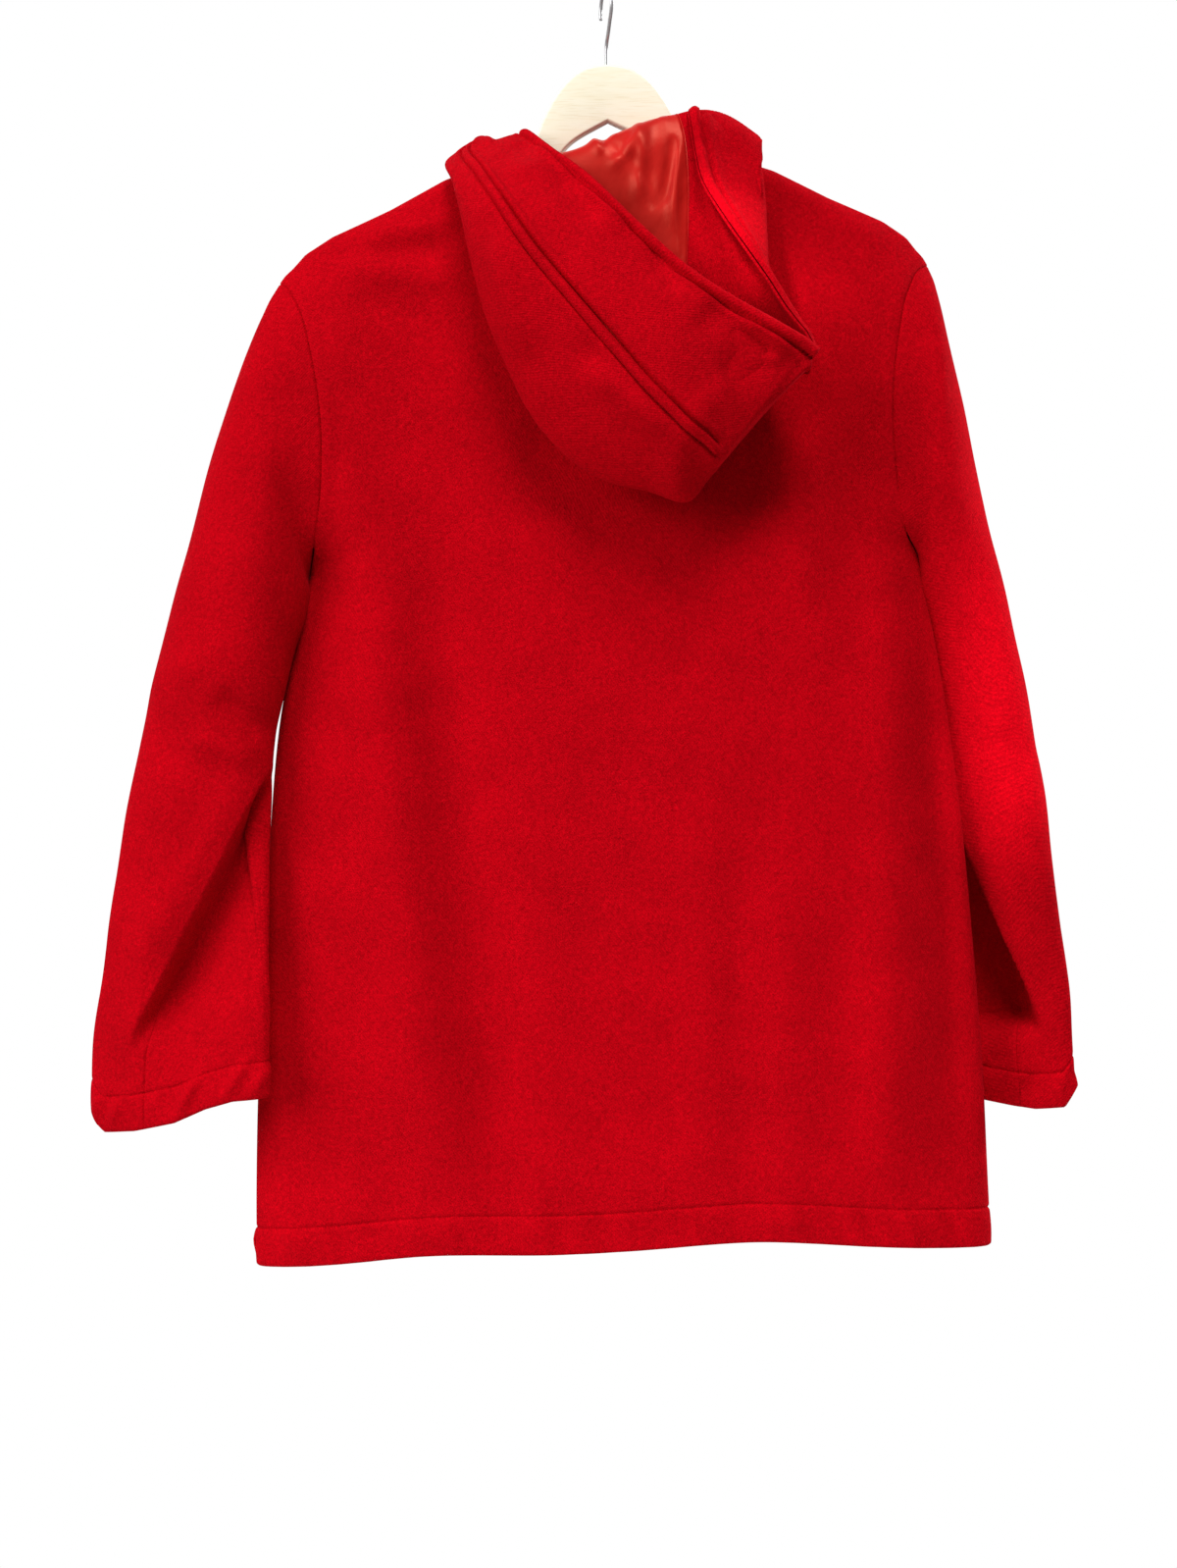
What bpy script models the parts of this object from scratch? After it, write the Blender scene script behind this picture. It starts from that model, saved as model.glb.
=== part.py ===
"""Hooded wool jacket hanging on a flat wooden hanger.

Metres, +Z up.  The origin is the bearing point inside the top of the hanger's hook.
The jacket's front faces -Y and its back faces +Y, so the wearer's left is +X.
Everything below the hook is modelled square on and then tilted as one by TILT.
"""
import math

import bmesh
import bpy
import numpy as np
from mathutils import Matrix

MM = 0.001

# ---- driving dimensions, millimetres and degrees -------------------------------------
TILT = 1.6                  # the jacket hangs this much lower on the wearer's left
WOOL = 2.6                  # thickness of the felted wool
SATIN = 1.0                 # thickness of the hood's lining
GAP = 0.3                   # half of the space left between two pieces at a seam
SHOULDER_GAP = 0.8          # the same at the shoulder seam, where the cloth bends sharply,
HOOD_GAP = 1.8              # and at the seams of the hood and the sleeves
SLEEVE_GAP = 0.5
STRAIGHT = 3.0              # cloth beside a seam runs straight for this far

UNDERARM_Z = -415.0
SHOULDER_TIP = (231.0, -207.0)
NECK_POINT = (74.0, -122.0)
BACK_NECK_Z = -134.0
FRONT_NECK_Z = -196.0
FRONT_LAP = 18.0            # each front passes the centre by this much

HANGER_HALF = 197.0
HANGER_THICK = 10.0
HANGER_DROP = 9.0           # from the shoulder seam down to the wood
ARCH_TOP_Z = -58.0

HOOK_WIRE = 2.6             # diameter
HOOK_RADIUS = 17.0          # centre line of the arc
HOOK_TURN = 77.0            # the hook's plane is turned this far from the hanger's

BUTTON_DIAMETER = 25.0
BUTTON_THICK = 4.0
BUTTON_Z = (-222.0, -334.0, -446.0, -558.0, -670.0)

# Body below the armholes: height of the row at the side seam, half width there, how far
# the row's centre stands towards the wearer's left, half depth, and how much higher the
# row runs at the centre than at the sides.
BODY_ROWS = (
    # side_z  half_w  shift  depth  rise
    (-905.0, 262.0, 11.0, 39.0, 8.0),
    (-860.0, 261.0, 11.0, 39.0, 8.0),
    (-780.0, 258.5, 10.0, 39.0, 8.0),
    (-690.0, 253.0, 9.0, 40.0, 9.0),
    (-600.0, 246.5, 8.5, 40.0, 10.0),
    (-510.0, 236.0, 8.0, 40.0, 12.0),
    (-450.0, 226.5, 6.5, 39.0, 16.0),
)

# Armhole: angle round the loop from the shoulder tip (0) by the back to the underarm
# (180), with the half width, the shift towards the wearer's left and the depth of the
# body's middle at that row.
ARMHOLE_ROWS = (
    # angle  half_w  shift  middle_depth
    (180.0, 219.0, 6.0, 38.0),
    (150.0, 210.0, 6.5, 36.0),
    (118.0, 202.0, 7.0, 33.0),
    (90.0, 200.0, 7.0, 29.0),
    (62.0, 206.0, 7.0, 24.0),
    (35.0, 216.0, 7.0, 18.0),
    (14.0, 226.0, 7.0, 10.5),
    (5.0, 231.0, 6.0, 3.8),
    (0.0, 231.0, 6.0, SHOULDER_GAP),
)
ARMHOLE_BACK = 32.0
ARMHOLE_FRONT = 36.0
UNDERARM_RISE = 20.0        # how much higher the underarm's row runs at the centre
BACK_NECK_BULGE = 13.0      # how far the neckline stands out at the centre of the back
FRONT_NECK_BULGE = 24.0
NECK_SLOPE = 0.06           # below the neckline the cloth falls away this steeply,
NECK_SPREAD = 1.5           # and this power fades that out down the body

# Shoulder seam: how high it stands between the tip (0) and the neck point (1).
SHOULDER_LINE = (
    # x      share of the climb
    (231.0, 0.0),
    (214.0, 0.24),
    (196.0, 0.38),
    (156.0, 0.59),
    (117.0, 0.83),
    (74.0, 1.0),
)

# Sleeves: outer edge and inner edge of each ring, then how far the cloth bulges to the
# back and to the front of the line between them.
SLEEVE_LEFT_ROWS = (
    # out_x  out_y  out_z   in_x   in_y   in_z  back  front
    (250.0, 0.0, -229.0, 229.0, 2.0, -419.0, 35.0, 38.0),
    (271.0, 0.0, -281.0, 233.0, 4.0, -427.0, 40.0, 42.0),
    (291.0, 0.0, -339.0, 238.0, 7.0, -444.0, 44.0, 44.0),
    (309.0, 0.0, -397.0, 243.0, 10.0, -470.0, 44.0, 42.0),
    (327.0, 1.0, -458.0, 246.0, 16.0, -503.0, 40.0, 36.0),
    (343.0, 2.0, -520.0, 249.0, 22.0, -539.0, 34.0, 30.0),
    (356.0, 4.0, -579.0, 251.0, 29.0, -585.0, 27.0, 25.0),
    (366.0, 5.0, -638.0, 252.0, 35.0, -638.0, 22.0, 20.0),
    (375.0, 6.0, -690.0, 253.0, 39.0, -688.0, 19.0, 16.0),
    (384.0, 7.0, -745.0, 253.0, 42.0, -736.0, 18.0, 14.0),
    (386.0, 8.0, -798.0, 254.0, 44.0, -780.0, 18.0, 14.0),
)
SLEEVE_RIGHT_ROWS = (
    # out_x  out_y  out_z   in_x   in_y   in_z  back  front
    (232.0, 0.0, -229.0, 217.0, -2.0, -419.0, 36.0, 38.0),
    (242.0, 0.0, -281.0, 220.0, -9.0, -428.0, 34.0, 42.0),
    (254.0, 1.0, -339.0, 216.0, -20.0, -444.0, 30.0, 44.0),
    (266.0, 2.0, -397.0, 215.0, -40.0, -470.0, 24.0, 42.0),
    (278.0, 2.0, -458.0, 211.0, -52.0, -502.0, 18.0, 36.0),
    (289.0, 0.0, -520.0, 206.0, -60.0, -540.0, 16.0, 30.0),
    (297.0, -3.0, -579.0, 198.0, -66.0, -586.0, 15.0, 25.0),
    (304.0, -6.0, -638.0, 194.0, -68.0, -640.0, 14.0, 20.0),
    (309.0, -8.0, -692.0, 192.0, -69.0, -692.0, 13.0, 17.0),
    (314.0, -10.0, -748.0, 191.0, -69.0, -745.0, 13.0, 15.0),
    (317.0, -12.0, -800.0, 190.0, -69.0, -790.0, 13.0, 15.0),
)
# Angle round the cuff at which each column of a ring ends; the armhole's own angles start
# the same columns.  The two sleeve seams run down one column each.
CUFF_ANGLES = (0, 8, 20, 34, 46, 58, 69, 112, 180, 212, 235, 256, 277, 300, 322, 344)
SLEEVE_BACK_SEAM = 6
SLEEVE_FRONT_SEAM = 9
ELBOW_TUCK = 8.0            # the under sleeve sinks this far beside the elbow's fold

# Columns of the body, as shares of the half width; the straight strip comes after the first.
BODY_COLUMNS = (0.975, 0.90, 0.78, 0.65, 0.5, 0.32, 0.18)
BODY_ROUNDNESS = 2.6

# Hood, thrown back: each row runs from the left edge of the face opening over the left
# side, round the fold at the bottom of the bag and up the far side to the right edge.  The
# last number is how much further than HOOD_OFF_BACK the far side stands off the back.
HOOD_ROWS = (
    # left edge            left seam             bottom fold           right fold            right edge  off
    ((36, -40, -152), (76, -13, -121), (84, 2, -121), (-84, -4, -113), (-36, -40, -150), 0),
    ((57, -18, -109), (91, -3, -109), (101, 6, -121), (-96, 5, -113), (-59, -16, -105), 0),
    ((59, 4, -103), (103, 15, -119), (112, 14, -129), (-104, 20, -120), (-57, 32, -100), 0),
    ((36, 50, -132), (92, 62, -150), (108, 40, -152), (-107, 38, -148), (-60, 52, -132), 0),
    ((15, 74, -155), (79, 88, -177), (102, 54, -184), (-108, 42, -172), (-64, 60, -155), 0),
    ((-16, 94, -192), (59, 104, -212), (94, 64, -225), (-107, 52, -198), (-78, 72, -184), 0),
    ((-48, 104, -225), (33, 113, -247), (80, 68, -268), (-106, 62, -222), (-93, 82, -210), 0),
    ((-80, 109, -249), (3, 117, -285), (50, 74, -328), (-112, 68, -246), (-106, 88, -232), 0),
    ((-103, 110, -263), (-22, 117, -315), (6, 76, -364), (-118, 72, -264), (-117, 92, -252), 1),
    ((-118, 109, -272), (-45, 113, -338), (-45, 80, -379), (-123, 75, -278), (-124, 95, -263), 3),
    ((-126, 108, -277), (-67, 99, -353), (-72, 80, -352), (-126, 78, -284), (-129, 97, -270), 14),
    ((-131, 107, -281), (-103, 99, -318), (-105, 86, -316), (-130, 84, -288), (-132, 96, -276), 28),
    ((-135, 106, -284), (-128, 103, -295), (-128, 91, -295), (-132, 87, -288), (-135, 94, -282), 40),
)
HOOD_STEPS = (3, 2, 2, 2, 2, 3)       # columns between one key point of a row and the next
NECK_KEYS = (177, 105, 78, 45, -45, -84, -177)     # the key points' angles round the neck seam
HOOD_LEFT_SEAM = 3
HOOD_RIGHT_SEAM = 6
FACING_LEFT = 2
FACING_RIGHT = 9
HOOD_ROLL_THIN = 0.42       # its wool is this much thinner where it rolls over by the neck
HOOD_STAND = 5.0            # the hood rises this far above the neck seam before it rolls over
HOOD_FAR_DROP = 8.0         # its far side hangs this much below the line between its folds
HOOD_INNER_START = 5        # the facing and the lining begin at this row
HOOD_OFF_BACK = 24.0        # the far side of the hood stands this far behind the neck seam,
HOOD_LEAN = 0.085           # and this much more for each unit of height below it

WOOD_OUTLINE_TOP = (
    # x      z on the upper edge
    (0.0, -58.0),
    (17.0, -61.5),
    (33.0, -75.0),
    (46.0, -96.0),
    (52.0, -114.0),
    (58.0, -128.0),
    (64.0, -138.5),
)
WOOD_OUTLINE_BOTTOM = (
    # x      z on the lower edge
    (0.0, -98.0),
    (24.0, -111.0),
    (64.0, -158.0),
    (117.0, -176.0),
)


# ---- small helpers ---------------------------------------------------------------------
def material(name, colour, roughness, metallic=0.0):
    """A Principled material of one colour."""
    made = bpy.data.materials.new(name)
    made.use_nodes = True
    shader = made.node_tree.nodes["Principled BSDF"]
    shader.inputs["Base Color"].default_value = (*colour, 1.0)
    shader.inputs["Roughness"].default_value = roughness
    shader.inputs["Metallic"].default_value = metallic
    return made


def add_object(name, mesh, skin):
    """An object in the jacket's collection, hung from the tilted empty."""
    made = bpy.data.objects.new(name, mesh)
    made.data.materials.append(skin)
    collection.objects.link(made)
    made.parent = tilted
    return made


def table(rows, x):
    """A column read off a table of (x, value) rows, straight between the rows."""
    ordered = sorted(rows)
    return np.interp(x, [row[0] for row in ordered], [row[1] for row in ordered])


def smooth_through(points, steps):
    """A Catmull-Rom curve through the points, with steps[i] pieces after point i."""
    points = [np.array(point, float) for point in points]
    padded = [2 * points[0] - points[1], *points, 2 * points[-1] - points[-2]]
    curve = []
    for index, count in enumerate(steps):
        before, start, end, after = padded[index:index + 4]
        for step in range(count):
            t = step / count
            curve.append(0.5 * (2 * start + (end - before) * t
                                + (2 * before - 5 * start + 4 * end - after) * t ** 2
                                + (3 * start - before - 3 * end + after) * t ** 3))
    return np.array(curve + [points[-1]])


def slopes(grid, axis, ring=False):
    """Tangents along one axis of a grid, each the sum of the ways to and from a point."""
    grid = np.moveaxis(grid, axis, 0)
    pieces = np.diff(grid, axis=0, append=grid[:1]) if ring else np.diff(grid, axis=0)
    pieces /= np.maximum(np.linalg.norm(pieces, axis=2, keepdims=True), 1e-9)
    if ring:
        tangent = pieces + np.roll(pieces, 1, axis=0)
    else:
        tangent = np.concatenate([pieces[:1], pieces[:-1] + pieces[1:], pieces[-1:]])
    return np.moveaxis(tangent, 0, axis)


def sheet_normals(grid, ring=False):
    """Unit normals of a grid: its slope along a row crossed with its slope up a column."""
    normal = np.cross(slopes(grid, 1, ring), slopes(grid, 0))
    return normal / np.maximum(np.linalg.norm(normal, axis=2, keepdims=True), 1e-9)


def cloth(name, grid, normals, skin, thickness):
    """A panel of cloth: a grid of points, the same grid moved in, and the rim between them.

    The two sides are lofted from shared normals, so that neighbours meet in a mitre."""
    rows, columns = grid.shape[:2]
    index = np.arange(rows * columns).reshape(rows, columns)
    a, b, c, d = index[:-1, :-1], index[:-1, 1:], index[1:, 1:], index[1:, :-1]
    right_side = np.stack([a, b, c, a, c, d], axis=-1).reshape(-1, 3)
    wrong_side = right_side[:, ::-1] + rows * columns
    border = np.concatenate([index[0, :-1], index[:-1, -1], index[-1, :0:-1], index[:0:-1, 0]])
    following = np.roll(border, -1)
    rim = np.stack([following, border, border + rows * columns, following + rows * columns],
                   axis=-1)
    points = np.concatenate([grid.reshape(-1, 3), (grid - normals * thickness).reshape(-1, 3)])
    mesh = bpy.data.meshes.new(name)
    mesh.from_pydata((points * MM).tolist(), [],
                     [*right_side.tolist(), *wrong_side.tolist(), *rim.tolist()])
    mesh.update()
    return add_object(name, mesh, skin)


def apart(grid, normals, first, last, rim):
    """Columns first to last of a grid, drawn in by the seam's gap at both ends."""
    panel = grid[:, first:last + 1].copy()
    for edge, inside in ((0, 1), (-1, -2)):
        way = panel[:, inside] - panel[:, edge]
        way /= np.maximum(np.linalg.norm(way, axis=1, keepdims=True), 1e-6)
        panel[:, edge] += way * rim
    return panel, normals[:, first:last + 1]


# ---- body ------------------------------------------------------------------------------
def seam_height(x, neck_z):
    """Height of the shoulder seam at x, or of the neckline between the neck points."""
    distance = abs(x)
    if distance >= NECK_POINT[0]:
        climb = NECK_POINT[1] - SHOULDER_TIP[1]
        return SHOULDER_TIP[1] + climb * table(SHOULDER_LINE, distance)
    return neck_z + (NECK_POINT[1] - neck_z) * (distance / NECK_POINT[0]) ** 2.2


def armhole_point(angle, side, depth):
    """A point of the armhole loop; the angle runs from the shoulder tip to the underarm."""
    half = table([(row[0], row[1]) for row in ARMHOLE_ROWS], angle)
    shift = table([(row[0], row[2]) for row in ARMHOLE_ROWS], angle)
    turn = math.radians(angle)
    middle = (SHOULDER_TIP[1] + UNDERARM_Z) / 2
    reach = (SHOULDER_TIP[1] - UNDERARM_Z) / 2
    return np.array((side * half + shift, depth * math.sin(turn),
                     middle + reach * math.cos(turn)))


def body_columns(side=None):
    """Columns across a panel, as (share of the half width, True on the straight strip)."""
    half = [(1.0, False), (1.0, True), *((share, False) for share in BODY_COLUMNS)]
    if side:
        return [(side * share, strip) for share, strip in half] + [(side * 0.10, False),
                                                                   (0.0, False)]
    return half + [(0.0, False)] + [(-share, strip) for share, strip in reversed(half)]


def low_row(row, columns):
    """A row below the armholes: flat oval sections, closed at the side seams."""
    side_z, half, shift, depth, rise = row
    points = []
    for share, strip in columns:
        round_off = max(1 - abs(share) ** BODY_ROUNDNESS, 0.0) ** 0.5
        y = GAP + (STRAIGHT if strip else (depth - GAP) * round_off)
        points.append((half * share + shift, y, side_z + rise * (1 - share ** 2)))
    return points


def high_row(row, columns, neck_z, neck_bulge, armhole_depth):
    """A row from one armhole to the other, which climbs to the shoulder seam and neck."""
    angle, half, shift, depth = row
    climb = (1 + math.cos(math.radians(angle))) / 2
    points = []
    for share, strip in columns:
        edge_y = max(armhole_depth * math.sin(math.radians(angle)), SHOULDER_GAP)
        round_off = max(1 - abs(share) ** BODY_ROUNDNESS, 0.0) ** 0.5
        top_x = SHOULDER_TIP[0] * share
        low = UNDERARM_Z + UNDERARM_RISE * (1 - share ** 2)
        z = low + (seam_height(top_x, neck_z) - low) * climb
        x = half * share + shift * (1 - climb * (1 - share ** 6))
        y = edge_y + (depth - edge_y) * round_off
        around = max(1 - (top_x / NECK_POINT[0]) ** 4, 0.0) ** 0.5
        below_neck = seam_height(top_x, neck_z) - z
        neck_y = GAP + neck_bulge * around + NECK_SLOPE * below_neck
        y += (neck_y - y) * around * climb ** NECK_SPREAD
        if strip and climb == 0.0:
            y += STRAIGHT
        elif strip:
            x -= math.copysign(STRAIGHT, share)
        points.append((x, y, z))
    return points


def body_grid(facing, columns, neck_z, neck_bulge, armhole_depth):
    """All rows of a body panel from the hem to the shoulder; facing is +1 for the back."""
    rows = [low_row(row, columns) for row in BODY_ROWS]
    rows += [high_row(row, columns, neck_z, neck_bulge, armhole_depth)
             for row in ARMHOLE_ROWS]
    return np.array(rows) * (1.0, facing, 1.0)


def lapped(front, side, sink):
    """A front carried past the centre, its last columns sunk under the other front."""
    past = front[:, -1:] - (side * FRONT_LAP, 0.0, 0.0)
    front = np.concatenate([front, past], axis=1)
    front[:, -3:, 1] += sink
    return front


def build_body(skin):
    """The back, and the two fronts with the wearer's right lapped over the left.

    Returns the points down the middle of the upper front, which carries the buttons."""
    back = body_grid(1.0, body_columns(), BACK_NECK_Z, BACK_NECK_BULGE, ARMHOLE_BACK)
    left = body_grid(-1.0, body_columns(1.0), FRONT_NECK_Z, FRONT_NECK_BULGE, ARMHOLE_FRONT)
    right = body_grid(-1.0, body_columns(-1.0), FRONT_NECK_Z, FRONT_NECK_BULGE, ARMHOLE_FRONT)
    left = lapped(left, 1.0, WOOL + 3 * GAP)[:, ::-1]
    right = lapped(right, -1.0, 0.0)
    for name, panel in (("back", back), ("front_left", left), ("front_right", right)):
        cloth(name, panel, sheet_normals(panel), skin, WOOL)
    return right[:, -2]


# ---- sleeves ---------------------------------------------------------------------------
def armhole_loop(side):
    """The armhole as a closed ring: tip, back, underarm, front."""
    angles = [row[0] for row in reversed(ARMHOLE_ROWS)]
    ring = [armhole_point(angle, side, ARMHOLE_BACK) for angle in angles]
    ring += [armhole_point(angle, side, -ARMHOLE_FRONT) for angle in reversed(angles[1:-1])]
    loop_angles = angles + [360 - angle for angle in reversed(angles[1:-1])]
    return np.array(ring) + (side * 2 * GAP, 0.0, 0.0), np.array(loop_angles, float)


def sleeve_grid(side, rows):
    """Rings from the armhole to the cuff, each through an outer and an inner edge."""
    first, start_angles = armhole_loop(side)
    rings = [first]
    for number, row in enumerate(rows, start=1):
        out_x, out_y, out_z, in_x, in_y, in_z, back, front = row
        share = number / len(rows)
        blend = share * share * (3 - 2 * share)
        turn = np.radians(start_angles + (np.array(CUFF_ANGLES) - start_angles) * blend)
        outer = np.array((side * out_x, out_y, out_z))
        inner = np.array((side * in_x, in_y, in_z))
        bulge = np.where(np.sin(turn) > 0, back, front) * np.sin(turn)
        ring = (outer + inner) / 2 + np.cos(turn)[:, None] * (outer - inner) / 2
        ring[:, 1] += bulge
        below_elbow = max(0.0, math.sin(math.pi * min(max((share - 0.5) / 0.5, 0.0), 1.0)))
        ring[SLEEVE_BACK_SEAM + 1, 1] -= ELBOW_TUCK * below_elbow
        rings.append(ring)
    return np.array(rings)


def build_sleeve(side, word, rows, skin):
    """A two-piece sleeve: the top sleeve and the narrower under sleeve."""
    grid = sleeve_grid(side, rows)
    normals = -side * sheet_normals(grid, ring=True)
    round_armhole = slopes(grid[:1], 1, ring=True)[0]
    normals[0] = -np.cross(round_armhole, (1.0, 0.0, 0.0))
    normals[0] /= np.linalg.norm(normals[0], axis=1, keepdims=True)
    grid = np.concatenate([grid[:, SLEEVE_FRONT_SEAM:], grid[:, :SLEEVE_FRONT_SEAM + 1]], axis=1)
    normals = np.concatenate([normals[:, SLEEVE_FRONT_SEAM:],
                              normals[:, :SLEEVE_FRONT_SEAM + 1]], axis=1)
    seam = len(CUFF_ANGLES) - SLEEVE_FRONT_SEAM + SLEEVE_BACK_SEAM
    for kind, first, last in (("top", 0, seam), ("under", seam, grid.shape[1] - 1)):
        panel, facing = apart(grid, normals, first, last, SLEEVE_GAP)
        if side > 0:
            panel, facing = panel[:, ::-1], facing[:, ::-1]
        cloth(f"sleeve_{word}_{kind}", panel, facing, skin, WOOL)


# ---- hood ------------------------------------------------------------------------------
def neckline(x, front):
    """A point of the neckline at x, on the front or the back of the neck."""
    around = max(1 - (x / NECK_POINT[0]) ** 4, 0.0) ** 0.5
    if front:
        return np.array((x, -GAP - FRONT_NECK_BULGE * around, seam_height(x, FRONT_NECK_Z)))
    return np.array((x, GAP + BACK_NECK_BULGE * around, seam_height(x, BACK_NECK_Z)))


def neck_row(lift, spread):
    """The hood's seam round the neck, or the same line lifted and spread outwards."""
    turns = [NECK_KEYS[0]]
    for start, end, count in zip(NECK_KEYS, NECK_KEYS[1:], HOOD_STEPS):
        turns += [start + (end - start) * step / count for step in range(1, count + 1)]
    points = []
    for turn in turns:
        front = abs(turn) > 90
        x = NECK_POINT[0] * math.sin(math.radians(turn))
        outward = np.array((x / NECK_POINT[0], -0.9 if front else 0.5, 0.0))
        points.append(neckline(x, front) + outward * spread + (0.0, 0.0, lift))
    return points


def hood_row(row):
    """A row of the bag: left edge, left seam, fold, far side, fold, right edge."""
    edge, seam, fold, right_fold, right_edge = (np.array(point, float) for point in row[:5])
    far = []
    for share in (0.22, 0.8):
        point = fold + (right_fold - fold) * share
        point[1] = HOOD_OFF_BACK + row[5] + HOOD_LEAN * (BACK_NECK_Z - point[2])
        point[2] -= HOOD_FAR_DROP
        far.append(point)
    return smooth_through([edge, seam, fold, far[0], far[1], right_fold, right_edge], HOOD_STEPS)


def hood_grid():
    """The whole outer surface of the hood, from the neck seam to its far end."""
    rows = [neck_row(4 * GAP, 0.0), neck_row(HOOD_STAND, 1.0)]
    rows += [hood_row(row) for row in HOOD_ROWS]
    return np.array(rows)


def build_hood(wool, satin):
    """Side panels and gusset, with the facing and the lining on their inner side."""
    grid = hood_grid()
    normals = sheet_normals(grid)
    normals[1:3] *= HOOD_ROLL_THIN
    for name, first, last in (("hood_left", 0, HOOD_LEFT_SEAM),
                              ("hood_gusset", HOOD_LEFT_SEAM, HOOD_RIGHT_SEAM),
                              ("hood_right", HOOD_RIGHT_SEAM, sum(HOOD_STEPS))):
        cloth(name, *apart(grid, normals, first, last, HOOD_GAP), wool, WOOL)
    inside = slice(HOOD_INNER_START, -2)
    inner = (grid - normals * (WOOL + 4 * GAP))[inside]
    for name, first, last, skin in (("hood_facing_left", 0, FACING_LEFT, wool),
                                    ("hood_lining", FACING_LEFT, FACING_RIGHT, satin),
                                    ("hood_facing_right", FACING_RIGHT, sum(HOOD_STEPS), wool)):
        cloth(name, *apart(inner, normals[inside], first, last, GAP), skin, SATIN)


# ---- hanger and hook -------------------------------------------------------------------
def build_hanger(skin):
    """A flat board sawn to an arch above, a notch below and two sloping arms."""
    arm = [(x, seam_height(x, BACK_NECK_Z) - HANGER_DROP) for x in (98, 117, 188)]
    tip = [(HANGER_HALF, seam_height(HANGER_HALF, BACK_NECK_Z) - HANGER_DROP - 6),
           (HANGER_HALF - 2, seam_height(HANGER_HALF, BACK_NECK_Z) - HANGER_DROP - 15)]
    half = [*WOOD_OUTLINE_TOP, *arm, *tip, *reversed(WOOD_OUTLINE_BOTTOM)]
    outline = half + [(-x, z) for x, z in reversed(half[1:-1])]
    shape = bmesh.new()
    corners = [shape.verts.new((x * MM, -HANGER_THICK / 2 * MM, z * MM)) for x, z in outline]
    board = shape.faces.new(corners)
    lifted = bmesh.ops.extrude_face_region(shape, geom=[board])["geom"]
    moved = [item for item in lifted if isinstance(item, bmesh.types.BMVert)]
    bmesh.ops.translate(shape, verts=moved, vec=(0, HANGER_THICK * MM, 0))
    bmesh.ops.recalc_face_normals(shape, faces=shape.faces)
    mesh = bpy.data.meshes.new("hanger")
    shape.to_mesh(mesh)
    shape.free()
    made = add_object("hanger", mesh, skin)
    edge = made.modifiers.new("rounded edges", "BEVEL")
    edge.width = 0.0015
    edge.segments = 1
    edge.limit_method = "ANGLE"


def build_hook(skin):
    """A wire that rises from the hanger and turns over into an open hook."""
    turn = math.radians(HOOK_TURN)
    level = np.array((-math.cos(turn), math.sin(turn), 0.0))
    centre = -(HOOK_RADIUS - HOOK_WIRE / 2)
    stem = [(0.0, ARCH_TOP_Z + 0.6), (0.0, -50.0), (1.0, -43.0), (6.0, -36.5)]
    arc = [(HOOK_RADIUS * math.cos(math.radians(angle)),
            centre + HOOK_RADIUS * math.sin(math.radians(angle)))
           for angle in range(-45, 196, 15)]
    curve = bpy.data.curves.new("hook", "CURVE")
    curve.dimensions = "3D"
    curve.bevel_depth = HOOK_WIRE / 2 * MM
    curve.bevel_resolution = 2
    curve.use_fill_caps = True
    spline = curve.splines.new("POLY")
    spline.points.add(len(stem) + len(arc) - 1)
    for point, (out, z) in zip(spline.points, stem + arc):
        place = level * out + (0.0, 0.0, z)
        point.co = (*(place * MM), 1.0)
    add_object("hook", curve, skin).parent = None


# ---- buttons ---------------------------------------------------------------------------
def build_buttons(edge, skin):
    """Plain round buttons down the lapped edge, whose points give the cloth's depth."""
    for number, z in enumerate(BUTTON_Z, start=1):
        shape = bmesh.new()
        bmesh.ops.create_cone(shape, cap_ends=True, segments=20, depth=BUTTON_THICK * MM,
                              radius1=BUTTON_DIAMETER / 2 * MM,
                              radius2=BUTTON_DIAMETER / 2 * MM * 0.92)
        mesh = bpy.data.meshes.new(f"button_{number}")
        shape.to_mesh(mesh)
        shape.free()
        made = add_object(f"button_{number}", mesh, skin)
        above, below = z + BUTTON_DIAMETER / 2, z - BUTTON_DIAMETER / 2
        depths = [table(edge[:, [2, 1]].tolist(), height) for height in (above, z, below)]
        made.rotation_euler.x = math.radians(90)
        made.location = (0.0, (min(depths) - BUTTON_THICK / 2 - 2 * GAP) * MM, z * MM)


for old in list(bpy.data.objects):
    bpy.data.objects.remove(old, do_unlink=True)

collection = bpy.data.collections.new("hooded jacket on a hanger")
bpy.context.scene.collection.children.link(collection)
tilted = bpy.data.objects.new("tilted about the hanger's top", None)
tilted.matrix_world = (Matrix.Translation((0.0, 0.0, ARCH_TOP_Z * MM))
                       @ Matrix.Rotation(math.radians(TILT), 4, "Y")
                       @ Matrix.Translation((0.0, 0.0, -ARCH_TOP_Z * MM)))
collection.objects.link(tilted)

red_wool = material("red wool", (0.60, 0.004, 0.010), 0.9)
red_satin = material("red satin", (0.72, 0.045, 0.025), 0.35)
pale_wood = material("pale wood", (0.83, 0.70, 0.44), 0.5)
chrome = material("chrome wire", (0.75, 0.75, 0.76), 0.15, 1.0)
red_plastic = material("red button plastic", (0.35, 0.01, 0.015), 0.35)

front_edge = build_body(red_wool)
build_sleeve(1.0, "left", SLEEVE_LEFT_ROWS, red_wool)
build_sleeve(-1.0, "right", SLEEVE_RIGHT_ROWS, red_wool)
build_hood(red_wool, red_satin)
build_hanger(pale_wood)
build_hook(chrome)
build_buttons(front_edge, red_plastic)
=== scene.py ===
import math

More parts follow.
